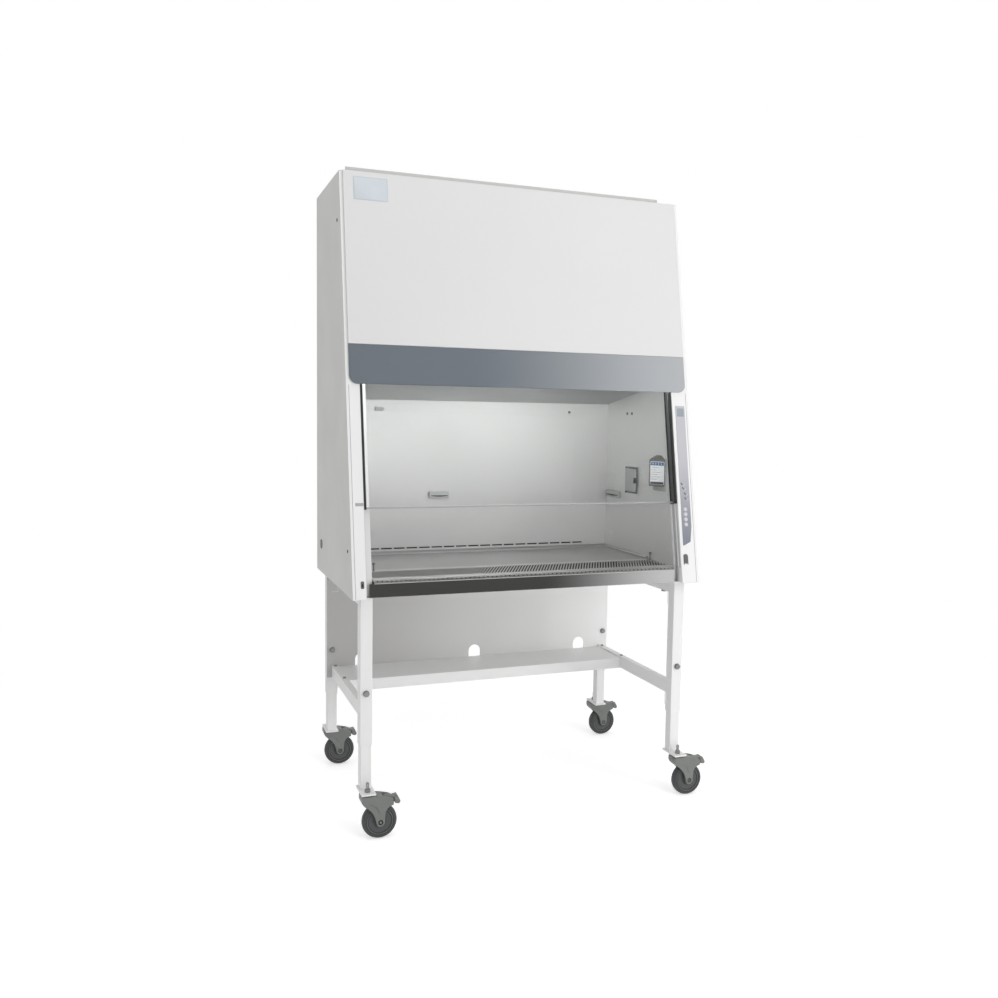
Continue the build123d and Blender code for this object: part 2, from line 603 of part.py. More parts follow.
# Guide tracks: a strip on each post's return, with a rib that the sash stile straddles.
with BuildPart() as guide_tracks:
    rib_front = GLASS_DEPTH + GLASS_THICKNESS / 2 - 2.6
    with BuildSketch(ACROSS.offset(TRACK_BOTTOM)):
        for edge_x, inward in ((OPEN_LEFT, 1), (OPEN_RIGHT, -1)):
            strip_x = sorted((edge_x, edge_x + inward * TRACK_STRIP))
            rib_x = sorted((edge_x + inward * TRACK_STRIP, edge_x + inward * (TRACK_STRIP + TRACK_RIB)))
            rect(strip_x[0], strip_x[1], 4, POST_RETURN - 6)
            rect(rib_x[0], rib_x[1], rib_front, rib_front + 5.2)
    extrude(amount=TRACK_TOP - TRACK_BOTTOM)
save("guide_tracks", guide_tracks.part)

with BuildPart() as sash_glass:
    with BuildSketch(ACROSS.offset(SASH_BOTTOM + BOTTOM_RAIL_HEIGHT / 2)):
        rect(GLASS_LEFT, GLASS_RIGHT, GLASS_DEPTH, GLASS_DEPTH + GLASS_THICKNESS)
    extrude(amount=SASH_HEIGHT - BOTTOM_RAIL_HEIGHT / 2)
save("sash_glass", sash_glass.part)

# Sash frame: two grooved stiles, a slim bottom rail and a hanger bar on the glass's top edge.
stiles = []
for outer_x, inward in ((STILE_LEFT, 1), (STILE_RIGHT, -1)):
    body_x = sorted((outer_x, outer_x + inward * STILE_WIDTH))
    groove_x = sorted((outer_x, outer_x + inward * TRACK_RIB))
    grip_x = sorted((outer_x + inward * STILE_WIDTH, outer_x + inward * (STILE_WIDTH - GLASS_GRIP)))
    with BuildPart() as stile:
        with BuildSketch(ACROSS.offset(SASH_BOTTOM - STILE_DROP)):
            rect(body_x[0], body_x[1], STILE_FRONT, STILE_FRONT + STILE_DEPTH)
            rect(
                groove_x[0], groove_x[1], rib_front - SLIDE_CLEARANCE,
                rib_front + 5.2 + SLIDE_CLEARANCE, mode=Mode.SUBTRACT,
            )
            rect(grip_x[0], grip_x[1], GLASS_DEPTH, GLASS_DEPTH + GLASS_THICKNESS, mode=Mode.SUBTRACT)
        extrude(amount=SASH_HEIGHT + STILE_DROP)
    stiles.append(stile.part)

with BuildPart() as sash_bottom_rail:
    with BuildSketch(ACROSS.offset(SASH_BOTTOM)):
        rect(RAIL_LEFT, RAIL_RIGHT, GLASS_DEPTH - SKIN, GLASS_DEPTH + GLASS_THICKNESS + SKIN)
    extrude(amount=BOTTOM_RAIL_HEIGHT)
    with BuildSketch(ACROSS.offset(SASH_BOTTOM + BOTTOM_RAIL_HEIGHT / 2)):
        rect(RAIL_LEFT, RAIL_RIGHT, GLASS_DEPTH, GLASS_DEPTH + GLASS_THICKNESS)
    extrude(amount=BOTTOM_RAIL_HEIGHT, mode=Mode.SUBTRACT)
with BuildPart() as sash_hanger:
    with BuildSketch(ACROSS.offset(SASH_TOP - HANGER_HEIGHT / 2)):
        rect(RAIL_LEFT, RAIL_RIGHT, GLASS_DEPTH - 2 * SKIN, GLASS_DEPTH + GLASS_THICKNESS + 2 * SKIN)
    extrude(amount=HANGER_HEIGHT)
    with BuildSketch(ACROSS.offset(SASH_TOP - HANGER_HEIGHT / 2)):
        rect(RAIL_LEFT, RAIL_RIGHT, GLASS_DEPTH, GLASS_DEPTH + GLASS_THICKNESS)
    extrude(amount=HANGER_HEIGHT / 2, mode=Mode.SUBTRACT)
save("sash_frame", *stiles, sash_bottom_rail.part, sash_hanger.part)

# Wipers: soft black blades in front of and behind each stile, running along the track strip.
with BuildPart() as sash_wipers:
    with BuildSketch(ACROSS.offset(SASH_BOTTOM - STILE_DROP)):
        for outer_x, inward in ((STILE_LEFT, 1), (STILE_RIGHT, -1)):
            blade_x = sorted((outer_x, outer_x + inward * (STILE_WIDTH - SKIN)))
            rear_start = STILE_FRONT + STILE_DEPTH
            rect(blade_x[0], blade_x[1], rear_start, rear_start + WIPER_REAR)
            rect(blade_x[0], blade_x[1], STILE_FRONT - WIPER_FRONT, STILE_FRONT)
    extrude(amount=SASH_HEIGHT + STILE_DROP)
save("sash_wipers", sash_wipers.part)

# Balance shaft: joins the two sides so the sash stays level; a grooved sheave over each line.
SHAFT_Y = front_y(SHAFT_Z, SHAFT_DEPTH)
SHAFT_HALF = HALF_WIDTH - SKIN - CONTACT_GAP
sheave_lines = (RAIL_LEFT + 3 * SHEAVE_WIDTH, RAIL_RIGHT - 3 * SHEAVE_WIDTH, -WEIGHT_X, WEIGHT_X)
with BuildPart() as balance_shaft:
    with BuildSketch(Plane.YZ.offset(-SHAFT_HALF)):
        with Locations((SHAFT_Y, SHAFT_Z)):
            Circle(SHAFT_RADIUS)
    extrude(amount=2 * SHAFT_HALF)
sheaves = []
for sheave_x in sheave_lines:
    with BuildPart() as sheave:
        with BuildSketch(Plane(origin=(sheave_x, SHAFT_Y, SHAFT_Z), x_dir=(1, 0, 0), z_dir=(0, -1, 0))):
            with BuildLine():
                Polyline(
                    (-SHEAVE_WIDTH / 2, SHAFT_RADIUS),
                    (SHEAVE_WIDTH / 2, SHAFT_RADIUS),
                    (SHEAVE_WIDTH / 2, SHEAVE_FLANGE),
                    (SHEAVE_WIDTH / 3, SHEAVE_FLANGE),
                    (0, SHEAVE_RADIUS),
                    (-SHEAVE_WIDTH / 3, SHEAVE_FLANGE),
                    (-SHEAVE_WIDTH / 2, SHEAVE_FLANGE),
                    close=True,
                )
            make_face()
        revolve(axis=Axis((sheave_x, SHAFT_Y, SHAFT_Z), (1, 0, 0)))
    sheaves.append(sheave.part)
save("sync_shaft", balance_shaft.part, *sheaves)

with BuildPart() as shaft_bearings:
    for face_x in (-HALF_WIDTH + SKIN, HALF_WIDTH - SKIN - BEARING_THICKNESS):
        with BuildSketch(Plane.YZ.offset(face_x)):
            with Locations((SHAFT_Y, SHAFT_Z)):
                RectangleRounded(BEARING_BLOCK, BEARING_BLOCK, 6)
                Circle(SHAFT_RADIUS + RUNNING_FIT, mode=Mode.SUBTRACT)
        extrude(amount=BEARING_THICKNESS)
save("shaft_bearings", shaft_bearings.part)

# Counterweights: cast bars that hang behind the shaft, guided by the walls of the side ducts.
with BuildPart() as counterweights:
    weight_top = CABINET_TOP - WEIGHT_TOP_DROP
    with BuildSketch(Plane.XY.offset(weight_top - WEIGHT_LENGTH)):
        for sign in (-1, 1):
            with Locations((sign * WEIGHT_X, SHAFT_Y + SHEAVE_RADIUS)):
                RectangleRounded(DUCT_WIDTH - 2 * SLIDE_CLEARANCE, WEIGHT_THICKNESS, 6)
    extrude(amount=WEIGHT_LENGTH)
    chamfer(counterweights.faces().group_by(Axis.Z)[-1].edges(), 4)
save("counterweights", counterweights.part)

# === Air system ==================================================================================

# Filters: a framed supply pack above the diffuser and a smaller exhaust pack under the top.
with BuildPart() as supply_filter:
    with BuildSketch(ACROSS.offset(CEILING_RISE + SKIN)):
        rect(-HALF_CHAMBER + SKIN, HALF_CHAMBER - SKIN, FILTER_FRONT, FILTER_FRONT + FILTER_DEPTH)
    extrude(amount=FILTER_HEIGHT)
    with BuildSketch(ACROSS.offset(CEILING_RISE + SKIN + FILTER_HEIGHT)):
        rect(
            -HALF_CHAMBER + FILTER_FRAME, HALF_CHAMBER - FILTER_FRAME,
            FILTER_FRONT + FILTER_FRAME, FILTER_FRONT + FILTER_DEPTH - FILTER_FRAME,
        )
    extrude(amount=-FILTER_FRAME / 2, mode=Mode.SUBTRACT)
with BuildPart() as exhaust_filter:
    with BuildSketch(Plane.XY.offset(PLENUM_TOP)):
        with Locations((0, EXHAUST_Y)):
            Rectangle(EXHAUST_WIDTH + FILTER_FRAME, EXHAUST_DEPTH - FILTER_FRAME)
    extrude(amount=EXHAUST_FILTER_HEIGHT)
save("hepa_filters", supply_filter.part, exhaust_filter.part)

# Plenum: folded box on the supply filter, open below it and open to the exhaust filter above.
with BuildPart() as plenum_box:
    filter_top = CEILING_RISE + SKIN + FILTER_HEIGHT
    plenum_back = FILTER_FRONT + FILTER_DEPTH
    low_front_y = filter_top * SIN_LEAN + FILTER_FRONT * COS_LEAN
    low_front_z = CABINET_BOTTOM + filter_top * COS_LEAN - FILTER_FRONT * SIN_LEAN
    low_back_y = filter_top * SIN_LEAN + plenum_back * COS_LEAN
    low_back_z = CABINET_BOTTOM + filter_top * COS_LEAN - plenum_back * SIN_LEAN
    with BuildSketch(Plane.YZ.offset(-HALF_CHAMBER)) as plenum_profile:
        with BuildLine():
            Polyline(
                (low_front_y, low_front_z),
                (low_back_y, low_back_z),
                (low_back_y, PLENUM_TOP),
                (front_y(PLENUM_TOP, FILTER_FRONT), PLENUM_TOP),
                close=True,
            )
        make_face()
    extrude(amount=CHAMBER_WIDTH)
    sloped_floor = plenum_box.faces().sort_by(Axis.Z)[0]
    offset(amount=-PLENUM_WALL, openings=sloped_floor)
    with BuildSketch(Plane.XY.offset(PLENUM_TOP)):
        with Locations((0, EXHAUST_Y)):
            Rectangle(EXHAUST_WIDTH - FILTER_FRAME, EXHAUST_DEPTH - 3 * FILTER_FRAME)
    extrude(amount=-2 * PLENUM_WALL, mode=Mode.SUBTRACT)
    with BuildSketch(Plane.XZ.offset(-low_back_y)):
        with Locations((0, CABINET_BOTTOM + BLOWER_RISE)):
            Circle(BLOWER_RADIUS - FILTER_FRAME)
    extrude(amount=2 * PLENUM_WALL, mode=Mode.SUBTRACT)
save("plenum_box", plenum_box.part)

# Blower: a scroll housing on the plenum's rear wall, a bladed wheel and a motor on its axis.
BLOWER_Z = CABINET_BOTTOM + BLOWER_RISE
BLOWER_BACK = low_back_y - PLENUM_WALL
SCROLL_RADIUS = BLOWER_RADIUS + 28
with BuildPart() as blower_housing:
    with BuildSketch(Plane.XZ.offset(-BLOWER_BACK)):
        with Locations((0, BLOWER_Z)):
            Circle(SCROLL_RADIUS)
        rect(0, SCROLL_RADIUS, BLOWER_Z - SCROLL_RADIUS - 40, BLOWER_Z)
    extrude(amount=BLOWER_WIDTH)
    with BuildSketch(Plane.XZ.offset(-BLOWER_BACK + BLOWER_WALL)):
        with Locations((0, BLOWER_Z)):
            Circle(SCROLL_RADIUS - BLOWER_WALL)
        rect(BLOWER_WALL, SCROLL_RADIUS - BLOWER_WALL, BLOWER_Z - SCROLL_RADIUS - 40, BLOWER_Z)
    extrude(amount=BLOWER_WIDTH - 2 * BLOWER_WALL, mode=Mode.SUBTRACT)
    with BuildSketch(Plane.XZ.offset(-BLOWER_BACK)):
        with Locations((0, BLOWER_Z)):
            Circle(BLOWER_RADIUS - FILTER_FRAME)
    extrude(amount=BLOWER_WALL, mode=Mode.SUBTRACT)
save("blower_housing", blower_housing.part)

MOTOR_FRONT = BLOWER_BACK - BLOWER_WIDTH + BLOWER_WALL
with BuildPart() as blower_motor:
    with BuildSketch(Plane.XZ.offset(-MOTOR_FRONT)):
        with Locations((0, BLOWER_Z)):
            Circle(MOTOR_RADIUS)
    extrude(amount=-MOTOR_LENGTH)
    fillet(blower_motor.faces().sort_by(Axis.Y)[-1].edges(), 8)
    with BuildSketch(Plane.XZ.offset(-MOTOR_FRONT - MOTOR_LENGTH)):
        with Locations((0, BLOWER_Z)):
            Circle(SHAFT_RADIUS)
    extrude(amount=-30)
save("blower_motor", blower_motor.part)

# The wheel: a backplate and hub on the motor's shaft, curved blades and a ring at the inlet end.
WHEEL_BACKPLATE = MOTOR_FRONT + MOTOR_LENGTH + 8
with BuildPart() as blower_wheel:
    with BuildSketch(Plane.XZ.offset(-WHEEL_BACKPLATE)):
        with Locations((0, BLOWER_Z)):
            Circle(BLOWER_RADIUS - 12)
    extrude(amount=-4)
    with BuildSketch(Plane.XZ.offset(-WHEEL_BACKPLATE)):
        with Locations((0, BLOWER_Z)):
            Circle(3 * SHAFT_RADIUS)
    extrude(amount=-18)
    with BuildSketch(Plane.XZ.offset(-WHEEL_BACKPLATE)):
        with Locations((0, BLOWER_Z)):
            with PolarLocations(BLOWER_RADIUS - 25, BLOWER_BLADES):
                Rectangle(24, 3, rotation=35)
    extrude(amount=-BLADE_LENGTH)
    with BuildSketch(Plane.XZ.offset(-WHEEL_BACKPLATE - BLADE_LENGTH)):
        with Locations((0, BLOWER_Z)):
            Circle(BLOWER_RADIUS - 12)
            Circle(BLOWER_RADIUS - 38, mode=Mode.SUBTRACT)
    extrude(amount=-3)
    with BuildSketch(Plane.XZ.offset(-WHEEL_BACKPLATE)):
        with Locations((0, BLOWER_Z)):
            Circle(SHAFT_RADIUS + RUNNING_FIT)
    extrude(amount=-BLADE_LENGTH, mode=Mode.SUBTRACT)
save("blower_wheel", blower_wheel.part)

# === Controls and chamber fittings ===============================================================

# Console overlay: a long plate on the right post with a tapered lower end.
with BuildPart() as console_overlay:
    console_left = OPEN_RIGHT + CONSOLE_LEFT
    console_right = console_left + CONSOLE_WIDTH
    with BuildSketch(FACE) as console_outline:
        with BuildLine():
            Polyline(
                (console_left - 1, CONSOLE_BOTTOM),
                (console_right - 8, CONSOLE_BOTTOM + 16),
                (console_right, CONSOLE_BOTTOM + 75),
                (console_right + 1, CONSOLE_TOP),
                (console_left, CONSOLE_TOP),
                close=True,
            )
        make_face()
        fillet(console_outline.vertices(), 3)
    extrude(amount=CONSOLE_THICKNESS)
    button_x = console_left + CONSOLE_WIDTH / 2 - 3
    with BuildSketch(FACE):
        for index in range(4):
            with Locations((button_x, BUTTON_LOWEST + index * BUTTON_PITCH)):
                Circle(BUTTON_RADIUS + SLIDE_CLEARANCE)
    extrude(amount=CONSOLE_THICKNESS, mode=Mode.SUBTRACT)
save("console_overlay", console_overlay.part)

for index in range(4):
    with BuildPart() as button:
        with BuildSketch(FACE.offset(BUTTON_TRAVEL + 0.2)):
            with Locations((button_x, BUTTON_LOWEST + index * BUTTON_PITCH)):
                Circle(BUTTON_RADIUS)
        extrude(amount=BUTTON_STAND)
        fillet(button.faces().sort_by(Axis.Y)[0].edges(), 1)
    save(f"button_{index + 1}", button.part)

# Display unit: a three-cornered housing on the right wall, a sloping roof and a framed screen.
display_front = (HALF_CHAMBER, DISPLAY_FRONT)
display_tip = (HALF_CHAMBER - DISPLAY_REACH, DISPLAY_CORNER)
display_back = (HALF_CHAMBER, DISPLAY_BACK)
screen_angle = degrees(atan2(display_tip[1] - display_front[1], display_tip[0] - display_front[0]))
screen_normal = (-sin(radians(180 - screen_angle)), -cos(radians(180 - screen_angle)), 0)
SCREEN_CENTRE = Plane(
    origin=(
        (display_front[0] + display_tip[0]) / 2, (display_front[1] + display_tip[1]) / 2,
        (DISPLAY_BOTTOM + DISPLAY_ROOF) / 2,
    ),
    x_dir=(-cos(radians(screen_angle)), -sin(radians(screen_angle)), 0),
    z_dir=screen_normal,
)
with BuildPart() as display_housing:
    with BuildSketch(Plane.XY.offset(DISPLAY_BOTTOM)):
        with BuildLine():
            Polyline(display_front, display_tip, display_back, close=True)
        make_face()
    extrude(amount=DISPLAY_ROOF - DISPLAY_BOTTOM)
    with BuildSketch(Plane.XY.offset(DISPLAY_ROOF)):
        with BuildLine():
            Polyline(display_front, display_tip, display_back, close=True)
        make_face()
    extrude(amount=DISPLAY_ROOF_RISE, taper=40)
    with BuildSketch(SCREEN_CENTRE):
        Rectangle(SCREEN_WIDTH, SCREEN_HEIGHT)
    extrude(amount=-SCREEN_THICKNESS, mode=Mode.SUBTRACT)
    with BuildSketch(Plane.YZ.offset(HALF_CHAMBER)):
        rect(DISPLAY_FRONT - 6, DISPLAY_BACK - 8, DISPLAY_BOTTOM - 20, DISPLAY_ROOF + 6)
    extrude(amount=-SKIN)
with BuildPart() as display_screen:
    with BuildSketch(SCREEN_CENTRE):
        Rectangle(SCREEN_WIDTH, SCREEN_HEIGHT)
    extrude(amount=-SCREEN_THICKNESS)
save("display_unit", display_housing.part, display_screen.part)

# Outlet: a base on the right wall with a hinge pin between two ears, and a flip cover on the pin.
OUTLET_BACK = OUTLET_FRONT + OUTLET_WIDTH
PIN_X = HALF_CHAMBER - OUTLET_BASE - OUTLET_BARREL - CONTACT_GAP
PIN_Y = OUTLET_BACK + OUTLET_BARREL + CONTACT_GAP
with BuildPart() as outlet_box:
    with BuildSketch(Plane.YZ.offset(HALF_CHAMBER)):
        rect(OUTLET_FRONT, OUTLET_BACK, OUTLET_BOTTOM, OUTLET_BOTTOM + OUTLET_HEIGHT)
        rect(OUTLET_BACK, PIN_Y + OUTLET_BARREL, OUTLET_BOTTOM, OUTLET_BOTTOM + OUTLET_HEIGHT)
    extrude(amount=-OUTLET_BASE)
    for ear_z in (OUTLET_BOTTOM, OUTLET_BOTTOM + OUTLET_HEIGHT - OUTLET_EAR):
        with BuildSketch(Plane.XY.offset(ear_z)):
            rect(PIN_X, HALF_CHAMBER - OUTLET_BASE, PIN_Y - OUTLET_BARREL, PIN_Y + OUTLET_BARREL)
            with Locations((PIN_X, PIN_Y)):
                Circle(OUTLET_BARREL)
        extrude(amount=OUTLET_EAR)
    with BuildSketch(Plane.XY.offset(OUTLET_BOTTOM)):
        with Locations((PIN_X, PIN_Y)):
            Circle(OUTLET_PIN)
    extrude(amount=OUTLET_HEIGHT)
save("outlet_box", outlet_box.part)

with BuildPart() as outlet_cover:
    cover_bottom = OUTLET_BOTTOM + OUTLET_EAR + CONTACT_GAP
    cover_height = OUTLET_HEIGHT - 2 * OUTLET_EAR - 2 * CONTACT_GAP
    cover_x = HALF_CHAMBER - OUTLET_BASE - CONTACT_GAP
    with BuildSketch(Plane.XY.offset(cover_bottom)):
        rect(cover_x - OUTLET_LID, cover_x, OUTLET_FRONT + 2, OUTLET_BACK - 1)
        rect(PIN_X - OUTLET_BARREL, PIN_X, OUTLET_BACK - 1, PIN_Y)
        with Locations((PIN_X, PIN_Y)):
            Circle(OUTLET_BARREL)
            Circle(OUTLET_PIN + RUNNING_FIT, mode=Mode.SUBTRACT)
    extrude(amount=cover_height)
    with BuildSketch(Plane.XY.offset(OUTLET_BOTTOM + OUTLET_HEIGHT / 2 - 12)):
        rect(cover_x - OUTLET_LID - 3, cover_x - OUTLET_LID, OUTLET_FRONT - 1, OUTLET_FRONT + 7)
        rect(cover_x - OUTLET_LID, cover_x, OUTLET_FRONT - 1, OUTLET_FRONT + 2)
    extrude(amount=24)
save("outlet_cover", outlet_cover.part)

# Chamber fittings: two slotted cord ports, an air sensor, wall plugs and side-panel plugs.
with BuildPart() as chamber_fittings:
    with BuildSketch(Plane.XZ.offset(-CHAMBER_BACK)):
        with Locations((BACK_PORT_X, PORT_BOTTOM + PORT_HEIGHT / 2)):
            RectangleRounded(BACK_PORT_WIDTH, PORT_HEIGHT, 6)
    extrude(amount=PORT_THICKNESS)
    with BuildSketch(Plane.XZ.offset(-CHAMBER_BACK + PORT_THICKNESS)):
        with Locations((BACK_PORT_X, PORT_BOTTOM + PORT_HEIGHT * 0.35)):
            SlotOverall(BACK_PORT_WIDTH * 0.8, PORT_HEIGHT / 4)
    extrude(amount=-PORT_THICKNESS / 3, mode=Mode.SUBTRACT)
    with BuildSketch(Plane.YZ.offset(HALF_CHAMBER)):
        with Locations((SIDE_PORT_Y, PORT_BOTTOM + PORT_HEIGHT / 2)):
            RectangleRounded(SIDE_PORT_WIDTH, PORT_HEIGHT, 6)
    extrude(amount=-PORT_THICKNESS)
    with BuildSketch(Plane.YZ.offset(HALF_CHAMBER - PORT_THICKNESS)):
        with Locations((SIDE_PORT_Y, PORT_BOTTOM + PORT_HEIGHT * 0.35)):
            SlotOverall(SIDE_PORT_WIDTH * 0.8, PORT_HEIGHT / 4)
    extrude(amount=PORT_THICKNESS / 3, mode=Mode.SUBTRACT)
    with BuildSketch(Plane.XZ.offset(-CHAMBER_BACK)):
        with BuildLine():
            Polyline(
                (SENSOR_X - SENSOR_LENGTH / 2, SENSOR_Z - SENSOR_HALF),
                (SENSOR_X + SENSOR_LENGTH / 2 - SENSOR_HALF, SENSOR_Z - SENSOR_HALF),
                (SENSOR_X + SENSOR_LENGTH / 2, SENSOR_Z),
                (SENSOR_X + SENSOR_LENGTH / 2 - SENSOR_HALF, SENSOR_Z + SENSOR_HALF),
                (SENSOR_X - SENSOR_LENGTH / 2, SENSOR_Z + SENSOR_HALF),
                close=True,
            )
        make_face()
        with Locations((-SENSOR_X - 30, SENSOR_Z)):
            Circle(WALL_PLUG_RADIUS - 1)
    extrude(amount=WALL_PLUG_RADIUS)
    with BuildSketch(Plane.YZ.offset(HALF_CHAMBER)):
        with Locations((WALL_PLUG_Y, SENSOR_Z), (WALL_PLUG_Y + WALL_PLUG_PITCH, SENSOR_Z)):
            Circle(WALL_PLUG_RADIUS)
    extrude(amount=-2 * SKIN)
    with BuildSketch(Plane.YZ.offset(HALF_CHAMBER)):
        with Locations((CHAMBER_BACK - WALL_CAP_INSET, WORK_TOP + WALL_CAP_INSET)):
            Circle(WALL_CAP_RADIUS)
    extrude(amount=-WALL_CAP_THICKNESS)
    for face_x, outward in ((-HALF_WIDTH, -1), (HALF_WIDTH, 1)):
        with BuildSketch(Plane.YZ.offset(face_x)):
            with Locations((CABINET_DEPTH - SIDE_PLUG_GAP, CABINET_BOTTOM + SIDE_PLUG_RISE)):
                Circle(SIDE_PLUG_RADIUS)
            with Locations(
                (LOWER_SCREW_Y, CABINET_BOTTOM + LOWER_SCREW_RISE),
                (UPPER_SCREW_Y, CABINET_TOP - UPPER_SCREW_DROP),
            ):
                Circle(SIDE_SCREW_RADIUS)
        extrude(amount=outward * SIDE_PLUG_PROUD)
save("chamber_fittings", chamber_fittings.part)

# Drain valve under the pan: a neck and a turned ball body, with a lever on a stem at its front.
STEM_Y = DRAIN_Y - DRAIN_BODY - 4
BALL_Z = CABINET_BOTTOM - DRAIN_LENGTH / 2
with BuildPart() as drain_valve:
    with BuildSketch(Plane.XZ.offset(-DRAIN_Y)):
        with BuildLine():
            Polyline(
                (DRAIN_X, CABINET_BOTTOM - DRAIN_LENGTH),
                (DRAIN_X + DRAIN_RADIUS + 2, CABINET_BOTTOM - DRAIN_LENGTH),
                (DRAIN_X + DRAIN_RADIUS + 2, BALL_Z - DRAIN_BODY / 2),
                (DRAIN_X + DRAIN_BODY, BALL_Z - DRAIN_BODY / 3),
                (DRAIN_X + DRAIN_BODY, BALL_Z + DRAIN_BODY / 3),
                (DRAIN_X + DRAIN_RADIUS + 2, BALL_Z + DRAIN_BODY / 2),
                (DRAIN_X + DRAIN_RADIUS + 2, CABINET_BOTTOM),
                (DRAIN_X + DRAIN_RADIUS - NECK_CLEARANCE, CABINET_BOTTOM),
                (DRAIN_X + DRAIN_RADIUS - NECK_CLEARANCE, CABINET_BOTTOM + SKIN),
                (DRAIN_X, CABINET_BOTTOM + SKIN),
                close=True,
            )
        make_face()
    revolve(axis=Axis((DRAIN_X, DRAIN_Y, 0), (0, 0, 1)))
    with BuildSketch(Plane.XZ.offset(-DRAIN_Y)):
        with Locations((DRAIN_X, BALL_Z)):
            Circle(SHAFT_RADIUS)
    extrude(amount=DRAIN_BODY + 12)
    with BuildSketch(Plane.XY.offset(CABINET_BOTTOM - DRAIN_LENGTH)):
        with Locations((DRAIN_X, DRAIN_Y)):
            Circle(DRAIN_RADIUS - 4)
    extrude(amount=DRAIN_LENGTH / 4, mode=Mode.SUBTRACT)
save("drain_valve", drain_valve.part)

with BuildPart() as drain_handle:
    with BuildSketch(Plane.XZ.offset(-STEM_Y)):
        with Locations((DRAIN_X, BALL_Z)):
            Circle(DRAIN_RADIUS)
        rect(DRAIN_X, DRAIN_X + DRAIN_LEVER, BALL_Z - SHAFT_RADIUS, BALL_Z + SHAFT_RADIUS)
        with Locations((DRAIN_X + DRAIN_LEVER, BALL_Z)):
            Circle(SHAFT_RADIUS)
        with Locations((DRAIN_X, BALL_Z)):
            Circle(SHAFT_RADIUS + RUNNING_FIT, mode=Mode.SUBTRACT)
    extrude(amount=5)
save("drain_handle", drain_handle.part)

# === Stand =======================================================================================

# Side frames: two outer leg tubes joined by an upper and a lower rail, welded as one frame.
frames = []
for sign in (-1, 1):
    with BuildPart() as side_frame:
        with BuildSketch(Plane.XY.offset(OUTER_LEG_BOTTOM)):
            with Locations((sign * LEG_X, FRONT_LEG_Y), (sign * LEG_X, REAR_LEG_Y)):
                RectangleRounded(OUTER_TUBE, OUTER_TUBE, 3)
        extrude(amount=OUTER_LEG_LENGTH)
        for rail_bottom in RAIL_BOTTOMS:
            with BuildSketch(Plane.XZ.offset(-FRONT_LEG_Y)):
                with Locations((sign * RAIL_X, rail_bottom + RAIL_HEIGHT / 2)):
                    Rectangle(RAIL_WIDTH, RAIL_HEIGHT)
            extrude(amount=-LEG_SPAN_Y)
        bore = OUTER_TUBE - 2 * TUBE_WALL
        with BuildSketch(Plane.XY.offset(OUTER_LEG_BOTTOM)):
            with Locations((sign * LEG_X, FRONT_LEG_Y), (sign * LEG_X, REAR_LEG_Y)):
                Rectangle(bore, bore)
        extrude(amount=OUTER_LEG_LENGTH - TUBE_WALL, mode=Mode.SUBTRACT)
    frames.append(side_frame.part)
save("side_frames", *frames)

# Stand back panel: sheet across the rear legs with three arched cable notches at the shelf.
with BuildPart() as stand_back_panel:
    panel_half = LEG_X + OUTER_TUBE / 2
    with BuildSketch(Plane.XZ.offset(-STAND_PANEL_Y)):
        rect(-panel_half, panel_half, SHELF_TOP - SHELF_LIP, CABINET_BOTTOM)
        for index in (-1, 0, 1):
            arch_x = index * ARCH_PITCH
            straight = ARCH_HEIGHT - ARCH_WIDTH / 2
            rect(
                arch_x - ARCH_WIDTH / 2, arch_x + ARCH_WIDTH / 2,
                SHELF_TOP, SHELF_TOP + straight, mode=Mode.SUBTRACT,
            )
            with Locations((arch_x, SHELF_TOP + straight)):
                Circle(ARCH_WIDTH / 2, mode=Mode.SUBTRACT)
        for sign in (-1, 1):
            rail_outer = RAIL_X + RAIL_WIDTH / 2 + CONTACT_GAP
            rail_inner = RAIL_X - RAIL_WIDTH / 2 - CONTACT_GAP
            low, high = sorted((sign * rail_inner, sign * rail_outer))
            for rail_bottom in RAIL_BOTTOMS:
                rect(
                    low, high, rail_bottom - CONTACT_GAP,
                    rail_bottom + RAIL_HEIGHT + CONTACT_GAP, mode=Mode.SUBTRACT,
                )
    extrude(amount=STAND_SHEET)
save("stand_back_panel", stand_back_panel.part)

# Shelf: folded tray between the lower rails, with a deep front lip and end flanges.
with BuildPart() as stand_shelf:
    shelf_half = RAIL_X - RAIL_WIDTH / 2
    shelf_back = STAND_PANEL_Y - STAND_SHEET
    shelf_front = shelf_back - SHELF_DEPTH
    with BuildSketch(Plane.XY.offset(SHELF_TOP - SHELF_LIP)):
        rect(-shelf_half, shelf_half, shelf_front, shelf_back)
    extrude(amount=SHELF_LIP)
    with BuildSketch(Plane.XY.offset(SHELF_TOP - SHELF_LIP)):
        rect(
            -shelf_half + STAND_SHEET, shelf_half - STAND_SHEET,
            shelf_front + STAND_SHEET, shelf_back - STAND_SHEET,
        )
    extrude(amount=SHELF_LIP - STAND_SHEET, mode=Mode.SUBTRACT)
    top_front = stand_shelf.faces().sort_by(Axis.Z)[-1].edges().sort_by(Axis.Y)[0]
    fillet(top_front, STAND_SHEET)
save("stand_shelf", stand_shelf.part)

